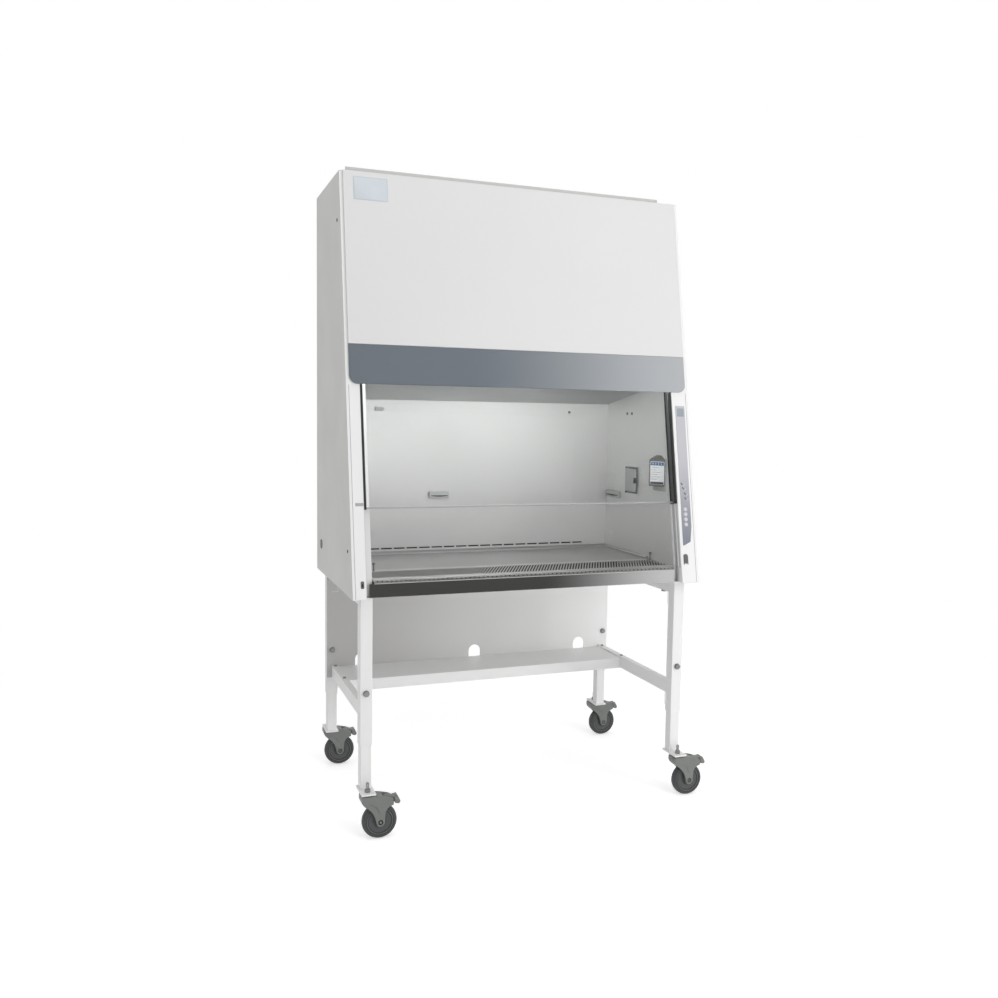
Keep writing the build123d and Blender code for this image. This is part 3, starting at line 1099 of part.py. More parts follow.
# Stand bolts: a hexagon head on a washer at each leg, shelf screws and cabinet hold-down bolts.
with BuildPart() as stand_bolts:
    bolt_z = CABINET_BOTTOM - LEG_BOLT_DROP
    for leg_y in (FRONT_LEG_Y, REAR_LEG_Y - STAND_SHEET):
        for sign in (-1, 1):
            face_y = leg_y - OUTER_TUBE / 2
            with BuildSketch(Plane.XZ.offset(-face_y)):
                with Locations((sign * LEG_X, bolt_z)):
                    Circle(NUT_FLATS * 0.6)
            extrude(amount=WASHER)
            with BuildSketch(Plane.XZ.offset(-face_y + WASHER)):
                with Locations((sign * LEG_X, bolt_z)):
                    RegularPolygon(NUT_FLATS / 2, 6, major_radius=False)
            extrude(amount=BOLT_HEAD)
    rail_low = CABINET_BOTTOM - RAIL_HEIGHT
    for sign in (-1, 1):
        with BuildSketch(Plane.XY.offset(rail_low)):
            with Locations(
                (sign * RAIL_X, FRONT_LEG_Y + HOLD_DOWN_INSET),
                (sign * RAIL_X, REAR_LEG_Y - HOLD_DOWN_INSET),
            ):
                RegularPolygon(NUT_FLATS / 2, 6, major_radius=False)
        extrude(amount=-BOLT_HEAD)
        with BuildSketch(Plane.XY.offset(CABINET_BOTTOM - LOWER_RAIL_DROP)):
            with Locations((sign * RAIL_X, shelf_front + 12), (sign * RAIL_X, shelf_back - 20)):
                Circle(NUT_FLATS / 3)
        extrude(amount=BOLT_HEAD / 2)
save("stand_bolts", stand_bolts.part)

# Inner legs: sliding tubes welded to foot plates that reach outboard for the caster stems.
legs = []
for name, leg_x, leg_y, outboard in LEG_CORNERS:
    stem_y = leg_y + outboard * STEM_OFFSET
    with BuildPart() as inner_leg:
        with BuildSketch(Plane.XY.offset(CASTER_HEIGHT)):
            plate_end = leg_y - outboard * (OUTER_TUBE / 2 + 4)
            plate_edges = sorted((stem_y + outboard * FOOT_PLATE_HALF, plate_end))
            rect(leg_x - FOOT_PLATE_HALF, leg_x + FOOT_PLATE_HALF, plate_edges[0], plate_edges[1])
            with Locations((leg_x, stem_y)):
                Circle(STEM_RADIUS + 0.5, mode=Mode.SUBTRACT)
        extrude(amount=FOOT_PLATE)
        with BuildSketch(Plane.XY.offset(CASTER_HEIGHT + FOOT_PLATE)):
            with Locations((leg_x, leg_y)):
                RectangleRounded(INNER_TUBE, INNER_TUBE, 3)
                Rectangle(INNER_TUBE - 2 * TUBE_WALL, INNER_TUBE - 2 * TUBE_WALL, mode=Mode.SUBTRACT)
        extrude(amount=LEG_EXPOSED + INNER_LEG_OVERLAP)
    legs.append(inner_leg.part)
save("inner_legs", *legs)

# Caster stems: threaded rods through the foot plates, a nut above and a shoulder below each.
stems = []
for name, leg_x, leg_y, outboard in LEG_CORNERS:
    stem_y = leg_y + outboard * STEM_OFFSET
    with BuildPart() as stem:
        with BuildSketch(Plane.XY.offset(CASTER_HEIGHT - STEM_SOCKET)):
            with Locations((leg_x, stem_y)):
                Circle(STEM_RADIUS)
        extrude(amount=STEM_TOP - CASTER_HEIGHT + STEM_SOCKET)
        with BuildSketch(Plane.XY.offset(CASTER_HEIGHT - STEM_PLATE)):
            with Locations((leg_x, stem_y)):
                Circle(2.6 * STEM_RADIUS)
        extrude(amount=STEM_PLATE)
        with BuildSketch(Plane.XY.offset(CASTER_HEIGHT + FOOT_PLATE)):
            with Locations((leg_x, stem_y)):
                RegularPolygon(NUT_FLATS / 2, 6, major_radius=False)
        extrude(amount=11)
        chamfer(stem.faces().sort_by(Axis.Z)[-1].edges(), 1)
    stems.append(stem.part)
save("caster_stems", *stems)

# Casters: a moulded hooded fork, a wheel with a rounded tread and a brake pedal on a pin.
HOOD_TOP = CASTER_HEIGHT - STEM_PLATE - CONTACT_GAP
TIP_START = PEDAL_REACH - PEDAL_TIP_LENGTH
for name, leg_x, leg_y, outboard in LEG_CORNERS:
    stem_y = leg_y + outboard * STEM_OFFSET
    axle_x = leg_x + CASTER_TRAIL
    side_plane = Plane(origin=(leg_x, stem_y, 0), x_dir=(1, 0, 0), z_dir=(0, -1, 0))
    axle_plane = Plane(origin=(axle_x, stem_y, WHEEL_RADIUS), x_dir=(1, 0, 0), z_dir=(0, -1, 0))
    pin_plane = side_plane.offset(FORK_WIDTH / 2)
    with BuildPart() as caster_housing:
        with BuildSketch(side_plane) as hood_outline:
            with BuildLine():
                Polyline(
                    (-HOOD_REACH, HOOD_TOP),
                    (-HOOD_REACH, HOOD_TOP - 20),
                    (-HOOD_REACH + 7, PEDAL_PIVOT_HEIGHT - 18),
                    (STEM_RADIUS, PEDAL_PIVOT_HEIGHT - 39),
                    (CASTER_TRAIL - 3 * AXLE_RADIUS, WHEEL_RADIUS),
                    (CASTER_TRAIL + 3 * AXLE_RADIUS, WHEEL_RADIUS),
                    (CASTER_TRAIL + 18, PEDAL_PIVOT_HEIGHT - 43),
                    (PEDAL_PIVOT_REACH + 10, PEDAL_PIVOT_HEIGHT - 25),
                    (TIP_START - 5, PEDAL_PIVOT_HEIGHT - 17),
                    (TIP_START - 7, PEDAL_PIVOT_HEIGHT + 4),
                    (PEDAL_PIVOT_REACH - 2, PEDAL_PIVOT_HEIGHT + 13),
                    (HOOD_REACH, HOOD_TOP),
                    close=True,
                )
            make_face()
            fillet(hood_outline.vertices().sort_by(Axis.Y)[2:7], 9)
            with Locations((CASTER_TRAIL, WHEEL_RADIUS)):
                Circle(3 * AXLE_RADIUS)
        extrude(amount=FORK_WIDTH / 2, both=True)
        with BuildSketch(axle_plane.offset(-FORK_GAP / 2)):
            Circle(WHEEL_RADIUS + 4.5)
        extrude(amount=FORK_GAP, mode=Mode.SUBTRACT)
        with BuildSketch(side_plane.offset(-FORK_GAP / 2 + 4.5)):
            rect(PEDAL_PIVOT_REACH - 10, PEDAL_REACH, PEDAL_PIVOT_HEIGHT - 25, HOOD_TOP + 1)
        extrude(amount=FORK_GAP - 9, mode=Mode.SUBTRACT)
        with BuildSketch(Plane.XY.offset(CASTER_HEIGHT - STEM_SOCKET - CONTACT_GAP)):
            with Locations((leg_x, stem_y)):
                Circle(STEM_RADIUS + RUNNING_FIT)
        extrude(amount=STEM_SOCKET + STEM_PLATE, mode=Mode.SUBTRACT)
        with BuildSketch(axle_plane.offset(-FORK_WIDTH / 2)):
            Circle(AXLE_RADIUS)
        extrude(amount=FORK_WIDTH)
        with BuildSketch(side_plane.offset(-FORK_GAP / 2)):
            with Locations((PEDAL_PIVOT_REACH, PEDAL_PIVOT_HEIGHT)):
                Circle(PEDAL_PIN_RADIUS)
        extrude(amount=FORK_GAP)
    save(f"caster_{name}", caster_housing.part)

    with BuildPart() as wheel:
        with BuildSketch(Plane(origin=(axle_x, stem_y, WHEEL_RADIUS), x_dir=(0, 1, 0), z_dir=(1, 0, 0))):
            half = WHEEL_WIDTH / 2
            hub_half = FORK_GAP / 2 - CONTACT_GAP
            bore = AXLE_RADIUS + RUNNING_FIT
            with BuildLine():
                Polyline(
                    (-half, WHEEL_RADIUS - 6),
                    (-half, WHEEL_RADIUS - 14),
                    (-half + 4, WHEEL_RADIUS - 16),
                    (-half + 4, 4.8 * AXLE_RADIUS),
                    (-hub_half, 4 * AXLE_RADIUS),
                    (-hub_half, bore),
                    (hub_half, bore),
                    (hub_half, 4 * AXLE_RADIUS),
                    (half - 4, 4.8 * AXLE_RADIUS),
                    (half - 4, WHEEL_RADIUS - 16),
                    (half, WHEEL_RADIUS - 14),
                    (half, WHEEL_RADIUS - 6),
                )
                ThreePointArc((half, WHEEL_RADIUS - 6), (0, WHEEL_RADIUS), (-half, WHEEL_RADIUS - 6))
            make_face()
        revolve(axis=Axis((axle_x, stem_y, WHEEL_RADIUS), (0, 1, 0)))
    save(f"wheel_{name}", wheel.part)

    with BuildPart() as pedal:
        with BuildSketch(side_plane) as pedal_outline:
            with BuildLine():
                Polyline(
                    (PEDAL_PIVOT_REACH - 8, PEDAL_PIVOT_HEIGHT + 7),
                    (PEDAL_PIVOT_REACH - 8, PEDAL_PIVOT_HEIGHT - 9),
                    (TIP_START - 12, PEDAL_PIVOT_HEIGHT - 12),
                    (TIP_START, PEDAL_PIVOT_HEIGHT - 19),
                    (PEDAL_REACH - 8, PEDAL_PIVOT_HEIGHT - 21),
                    (PEDAL_REACH, PEDAL_PIVOT_HEIGHT - 14),
                    (PEDAL_REACH - 10, PEDAL_PIVOT_HEIGHT + 6),
                    (TIP_START - 2, PEDAL_PIVOT_HEIGHT + 4),
                    (PEDAL_PIVOT_REACH + 18, PEDAL_PIVOT_HEIGHT + 9),
                    close=True,
                )
            make_face()
            with Locations((PEDAL_PIVOT_REACH, PEDAL_PIVOT_HEIGHT)):
                Circle(PEDAL_PIN_RADIUS + RUNNING_FIT, mode=Mode.SUBTRACT)
        extrude(amount=FORK_GAP / 2 - 5, both=True)
        with BuildSketch(side_plane):
            with BuildLine():
                Polyline(
                    (TIP_START, PEDAL_PIVOT_HEIGHT + 4),
                    (TIP_START, PEDAL_PIVOT_HEIGHT - 19),
                    (PEDAL_REACH - 8, PEDAL_PIVOT_HEIGHT - 21),
                    (PEDAL_REACH, PEDAL_PIVOT_HEIGHT - 14),
                    (PEDAL_REACH - 10, PEDAL_PIVOT_HEIGHT + 6),
                    close=True,
                )
            make_face()
        extrude(amount=FORK_WIDTH / 2 - 4, both=True)
    save(f"pedal_{name}", pedal.part)
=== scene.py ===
"""Biosafety cabinet on a caster stand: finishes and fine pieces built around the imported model."""
import logging
from dataclasses import dataclass
from enum import Enum
from math import cos, pi, radians, sin
from typing import Iterable, Optional, Sequence

import bpy
from mathutils import Matrix, Vector


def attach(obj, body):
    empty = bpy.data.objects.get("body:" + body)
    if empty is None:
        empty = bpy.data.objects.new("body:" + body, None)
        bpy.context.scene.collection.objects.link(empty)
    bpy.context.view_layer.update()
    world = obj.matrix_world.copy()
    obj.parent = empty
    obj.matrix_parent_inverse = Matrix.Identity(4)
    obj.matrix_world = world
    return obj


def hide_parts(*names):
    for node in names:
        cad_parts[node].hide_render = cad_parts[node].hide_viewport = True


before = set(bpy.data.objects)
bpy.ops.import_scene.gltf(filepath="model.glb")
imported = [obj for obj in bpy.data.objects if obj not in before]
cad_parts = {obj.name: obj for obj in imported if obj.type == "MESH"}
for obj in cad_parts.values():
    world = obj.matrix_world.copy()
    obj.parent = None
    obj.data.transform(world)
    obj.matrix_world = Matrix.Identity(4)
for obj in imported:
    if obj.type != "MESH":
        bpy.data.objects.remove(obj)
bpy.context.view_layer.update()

LOG = logging.getLogger("biosafety_cabinet")

Point = Sequence[float]
Socket = bpy.types.NodeSocket
Piece = bpy.types.Object
# A face counts as looking along an axis when its normal passes this.
FACING_LIMIT = 0.6


@dataclass(frozen=True)
class Site:
    """Where the cabinet stands, and its leaning front, in millimetres from its front bottom edge.

    Attributes:
        origin_x: X of the model's origin from the cabinet's centre line.
        origin_y: Y of the model's origin behind the cabinet's front bottom edge.
        bottom: Height of the cabinet's underside.
        lean: Angle of the front from upright, in degrees.
    """

    origin_x: float = 27.7
    origin_y: float = 406.0
    bottom: float = 866.4
    top: float = 2376.4
    lean: float = 9.9
    half_width: float = 689.5

    @property
    def sine(self) -> float:
        """Sine of the front's lean."""
        return sin(radians(self.lean))

    @property
    def cosine(self) -> float:
        """Cosine of the front's lean."""
        return cos(radians(self.lean))

    def at(self, x: float, y: float, z: float) -> Vector:
        """Turn a level point in millimetres into the model's metres."""
        return Vector((x - self.origin_x, y - self.origin_y, z)) / 1000

    def on_front(self, x: float, depth: float, height: float) -> Vector:
        """Turn a point by its depth behind the leaning front and its height up it into metres."""
        y = height * self.sine + depth * self.cosine
        z = self.bottom + height * self.cosine - depth * self.sine
        return self.at(x, y, z)

    def front_matrix(self, x: float, depth: float, height: float) -> Matrix:
        """Give the frame of a spot on the leaning front: X right, Y up the slope, Z out of it."""
        right = Vector((1, 0, 0))
        up = Vector((0, self.sine, self.cosine))
        out = Vector((0, -self.cosine, self.sine))
        turn = Matrix((right, up, out)).transposed().to_4x4()
        return Matrix.Translation(self.on_front(x, depth, height)) @ turn


SITE = Site()


class Grain(Enum):
    """Which way a brushed sheet's lines run."""

    ALONG_X = (1.5, 700.0, 700.0)
    ALONG_Z = (700.0, 700.0, 1.5)


class Shader:
    """A node tree under construction, with short calls for the nodes that every finish uses."""

    def __init__(self, name: str) -> None:
        """Start a material of that name with its main shader in place."""
        self.material = bpy.data.materials.new(name)
        self.material.use_nodes = True
        self.nodes = self.material.node_tree.nodes
        self.links = self.material.node_tree.links
        self.main = self.nodes["Principled BSDF"]
        self.coords = self.nodes.new("ShaderNodeTexCoord").outputs["Object"]

    def put(self, **values: object) -> None:
        """Set uniform values straight on the main shader, with spaces written as underscores."""
        for key, value in values.items():
            self.main.inputs[key.replace("_", " ")].default_value = value

    def mapped(self, scale: Point, rotation: Point = (0, 0, 0), location: Point = (0, 0, 0)) -> Socket:
        """Give object coordinates scaled, turned and moved for one pattern."""
        node = self.nodes.new("ShaderNodeMapping")
        node.inputs["Scale"].default_value = scale
        node.inputs["Rotation"].default_value = rotation
        node.inputs["Location"].default_value = location
        self.links.new(self.coords, node.inputs["Vector"])
        return node.outputs["Vector"]

    def noise(self, scale: float, detail: float = 3.0, stretch: Point = (1, 1, 1)) -> Socket:
        """Give a noise pattern.

        Args:
            scale: Cells to the metre.
            detail: Octaves of finer noise.
            stretch: How much finer the pattern is along each axis.

        Returns:
            The noise value, about 0.5 on average.
        """
        node = self.nodes.new("ShaderNodeTexNoise")
        node.inputs["Scale"].default_value = scale
        node.inputs["Detail"].default_value = detail
        self.links.new(self.mapped(stretch), node.inputs["Vector"])
        return node.outputs["Fac"]

    def math(self, kind: str, first: object, second: object = 0.0, clamp: bool = False) -> Socket:
        """Combine two values, sockets or numbers, with a math node."""
        node = self.nodes.new("ShaderNodeMath")
        node.operation = kind
        node.use_clamp = clamp
        for slot, value in zip(node.inputs, (first, second)):
            if isinstance(value, Socket):
                self.links.new(value, slot)
            else:
                slot.default_value = value
        return node.outputs["Value"]

    def span(self, fac: Socket, low: float, high: float, start: float = 0.3, end: float = 0.7) -> Socket:
        """Spread a pattern's values between two numbers."""
        node = self.nodes.new("ShaderNodeMapRange")
        node.inputs["From Min"].default_value = start
        node.inputs["From Max"].default_value = end
        node.inputs["To Min"].default_value = low
        node.inputs["To Max"].default_value = high
        self.links.new(fac, node.inputs["Value"])
        return node.outputs["Result"]

    def blend(self, fac: Socket, first: Point, second: Point, start: float = 0.3, end: float = 0.7) -> Socket:
        """Give a colour that runs from one to another with a pattern."""
        node = self.nodes.new("ShaderNodeValToRGB")
        node.color_ramp.elements[0].position = start
        node.color_ramp.elements[1].position = end
        node.color_ramp.elements[0].color = (*first, 1)
        node.color_ramp.elements[1].color = (*second, 1)
        self.links.new(fac, node.inputs["Fac"])
        return node.outputs["Color"]

    def mix(self, fac: Socket, first: object, second: object) -> Socket:
        """Mix two colours, sockets or plain ones, by a pattern."""
        node = self.nodes.new("ShaderNodeMix")
        node.data_type = "RGBA"
        self.links.new(fac, node.inputs["Factor"])
        for slot, value in zip((node.inputs[6], node.inputs[7]), (first, second)):
            if isinstance(value, Socket):
                self.links.new(value, slot)
            else:
                slot.default_value = (*value, 1)
        return node.outputs[2]

    def sweep(self, axis: str, start: float, end: float) -> Socket:
        """Give a smooth run from 0 to 1 between two places along an axis, in metres."""
        parts = self.nodes.new("ShaderNodeSeparateXYZ")
        self.links.new(self.coords, parts.inputs["Vector"])
        node = self.nodes.new("ShaderNodeMapRange")
        node.interpolation_type = "SMOOTHSTEP"
        node.inputs["From Min"].default_value = start
        node.inputs["From Max"].default_value = end
        self.links.new(parts.outputs[axis], node.inputs["Value"])
        return node.outputs["Result"]

    def facing(self, axis: str) -> Socket:
        """Give how far a face looks along an axis, from -1 to 1."""
        parts = self.nodes.new("ShaderNodeSeparateXYZ")
        geometry = self.nodes.new("ShaderNodeNewGeometry")
        self.links.new(geometry.outputs["True Normal"], parts.inputs["Vector"])
        return parts.outputs[axis]

    def sideways(self) -> Socket:
        """Pick out the faces that look to the left or the right, as the walls of close slits do, which get painted
        shade.
        """
        return self.math("GREATER_THAN", self.math("ABSOLUTE", self.facing("X")), FACING_LIMIT)

    def upward(self) -> Socket:
        """Pick out the faces that look up, as the floor of a covered well does, which get painted shade."""
        return self.math("GREATER_THAN", self.facing("Z"), FACING_LIMIT)

    def link(self, value: Socket, name: str) -> None:
        """Join a pattern to one of the main shader's inputs."""
        self.links.new(value, self.main.inputs[name])

    def relief(self, height: Socket, strength: float, distance: float, soften: float = 0.0) -> None:
        """Raise the surface by a pattern.

        Args:
            height: The pattern.
            strength: How strongly it shows.
            distance: Its depth in metres.
            soften: Radius in metres of the rounding that edges seem to have, or 0 for none.
        """
        bump = self.nodes.new("ShaderNodeBump")
        bump.inputs["Strength"].default_value = strength
        bump.inputs["Distance"].default_value = distance
        self.links.new(height, bump.inputs["Height"])
        if soften:
            bevel = self.nodes.new("ShaderNodeBevel")
            bevel.samples = 4
            bevel.inputs["Radius"].default_value = soften
            self.links.new(bevel.outputs["Normal"], bump.inputs["Normal"])
        self.links.new(bump.outputs["Normal"], self.main.inputs["Normal"])


@dataclass(frozen=True)
class PowderCoat:
    """A sprayed powder coat: faint orange peel, slight drift in tone and gloss."""

    name: str
    color: tuple[float, float, float]
    roughness: float = 0.42
    peel: float = 0.05
    soften: float = 0.0012
    # far and run: a colour that the coat turns to between two places along X, in metres; this run is painted light
    # and shade.
    far: Optional[tuple[float, float, float]] = None
    run: tuple[float, float] = (-0.3, 0.75)

    def build(self) -> bpy.types.Material:
        """Make the material."""
        shader = Shader(self.name)
        drift = shader.noise(1.3, 2.0)
        dark = tuple(0.975 * c for c in self.color)
        tone = shader.blend(drift, dark, self.color)
        # Painted light and shade: the tone runs to the far colour along X.
        if self.far:
            tone = shader.mix(shader.sweep("X", *self.run), tone, self.far)
        shader.link(tone, "Base Color")
        cloud = shader.noise(6.0, 4.0)
        shader.link(shader.span(cloud, self.roughness - 0.04, self.roughness + 0.05), "Roughness")
        shader.put(Coat_Weight=0.12, Coat_Roughness=0.25)
        shader.relief(shader.noise(850.0, 2.0), self.peel, 0.0004, self.soften)
        return shader.material


@dataclass(frozen=True)
class BrushedSteel:
    """Brushed sheet metal: fine parallel lines, soft smudges and a satin shine."""

    name: str
    grain: Grain
    color: tuple[float, float, float] = (0.62, 0.62, 0.61)
    roughness: float = 0.30
    lines: float = 0.015
    # far: a colour that the sheet turns to towards +X, a painted reflection.
    far: Optional[tuple[float, float, float]] = None
    # slit: faces that look sideways are painted near black, painted shade on the walls of close slits.
    slit: bool = False
    # well: faces that look up are painted dark, painted shade on the floor of a covered well.
    well: bool = False

    def build(self) -> bpy.types.Material:
        """Make the material."""
        shader = Shader(self.name)
        streaks = shader.noise(1.0, 5.0, self.grain.value)
        cloud = shader.noise(3.0, 3.0)
        dark = tuple(0.96 * c for c in self.color)
        tone = shader.blend(streaks, dark, self.color, 0.2, 0.8)
        # Painted reflection: lighter towards +X.
        if self.far:
            tone = shader.mix(shader.sweep("X", 0.0, 0.6), tone, self.far)
        # Painted shade on the walls of the slits.
        if self.slit:
            tone = shader.mix(shader.sideways(), tone, (0.015, 0.015, 0.015))
        # Painted shade on the floor of the well.
        if self.well:
            tone = shader.mix(shader.upward(), tone, (0.07, 0.07, 0.07))
        shader.link(tone, "Base Color")
        both = shader.math("MULTIPLY", shader.span(streaks, 0.92, 1.08), shader.span(cloud, 0.93, 1.08))
        shader.link(shader.math("MULTIPLY", both, self.roughness), "Roughness")
        shader.put(Metallic=1.0, Anisotropic=0.35)
        shader.relief(streaks, self.lines, 0.0003, 0.0008)
        return shader.material


@dataclass(frozen=True)
class MoldedPlastic:
    """Moulded plastic with a fine spark-eroded texture."""

    name: str
    color: tuple[float, float, float]
    roughness: float = 0.5
    texture: float = 0.12
    metallic: float = 0.0
    high: Optional[tuple[float, float, float]] = None

    def build(self) -> bpy.types.Material:
        """Make the material."""
        shader = Shader(self.name)
        fine = shader.noise(1600.0, 2.0)
        drift = shader.noise(12.0, 3.0)
        dark = tuple(0.9 * c for c in self.color)
        tone = shader.blend(drift, dark, self.color)
        if self.high:
            tone = shader.mix(shader.sweep("Z", 0.98, 1.40), tone, self.high)
        shader.link(tone, "Base Color")
        shader.link(shader.span(fine, self.roughness - 0.06, self.roughness + 0.08), "Roughness")
        shader.put(Metallic=self.metallic)
        shader.relief(fine, self.texture, 0.0003, 0.0006)
        return shader.material


@dataclass(frozen=True)
class ClearPane:
    """Clear laminated glass that lets light through to what is behind it."""

    name: str
    tint: tuple[float, float, float] = (0.985, 0.992, 0.99)

    def build(self) -> bpy.types.Material:
        """Make the material."""
        shader = Shader(self.name)
        shader.put(Base_Color=(*self.tint, 1), Transmission_Weight=1.0, IOR=1.45)
        shader.link(shader.span(shader.noise(7.0, 4.0), 0.0, 0.008), "Roughness")
        clear = shader.nodes.new("ShaderNodeBsdfTransparent")
        clear.inputs["Color"].default_value = (0.96, 0.965, 0.963, 1)
        path = shader.nodes.new("ShaderNodeLightPath")
        mixer = shader.nodes.new("ShaderNodeMixShader")
        output = shader.nodes["Material Output"]
        seen = shader.math("MULTIPLY", path.outputs["Is Camera Ray"], 0.94)
        shader.links.new(shader.math("MAXIMUM", path.outputs["Is Shadow Ray"], seen), mixer.inputs["Fac"])
        shader.links.new(shader.main.outputs["BSDF"], mixer.inputs[1])
        shader.links.new(clear.outputs["BSDF"], mixer.inputs[2])
        shader.links.new(mixer.outputs["Shader"], output.inputs["Surface"])
        return shader.material


@dataclass(frozen=True)
class PerforatedSheet:
    """Sheet with a close grid of round holes, painted as dark dots of shade in satin metal."""

    name: str
    pitch: float = 0.008
    color: tuple[float, float, float] = (0.66, 0.67, 0.68)

    def build(self) -> bpy.types.Material:
        """Make the material."""
        shader = Shader(self.name)
        waves = shader.mapped((2 * pi / self.pitch,) * 3, (radians(SITE.lean), 0, 0))
        parts = shader.nodes.new("ShaderNodeSeparateXYZ")
        shader.links.new(waves, parts.inputs["Vector"])
        across = shader.math("COSINE", parts.outputs["X"])
        along = shader.math("COSINE", parts.outputs["Y"])
        hole = shader.math("GREATER_THAN", shader.math("ADD", across, along), 0.75)
        # Painted shade: the holes are near-black dots.
        shader.link(shader.mix(hole, self.color, (0.03, 0.03, 0.035)), "Base Color")
        shader.link(shader.span(shader.noise(4.0), 0.32, 0.45), "Roughness")
        shader.link(shader.math("SUBTRACT", 1.0, hole), "Metallic")
        return shader.material


@dataclass(frozen=True)
class LitTube:
    """An opal lamp tube that is switched on, with a slightly uneven glow."""

    name: str
    strength: float = 35.0

    def build(self) -> bpy.types.Material:
        """Make the material."""
        shader = Shader(self.name)
        fine = shader.noise(40.0, 2.0)
        shader.link(shader.blend(fine, (0.88, 0.9, 0.9), (0.92, 0.94, 0.94)), "Base Color")
        shader.link(shader.span(fine, 0.2, 0.3), "Roughness")
        shader.put(Emission_Color=(1.0, 0.99, 0.97, 1))
        shader.link(shader.span(fine, 0.95 * self.strength, self.strength), "Emission Strength")
        shader.relief(fine, 0.02, 0.0003, 0.0006)
        return shader.material


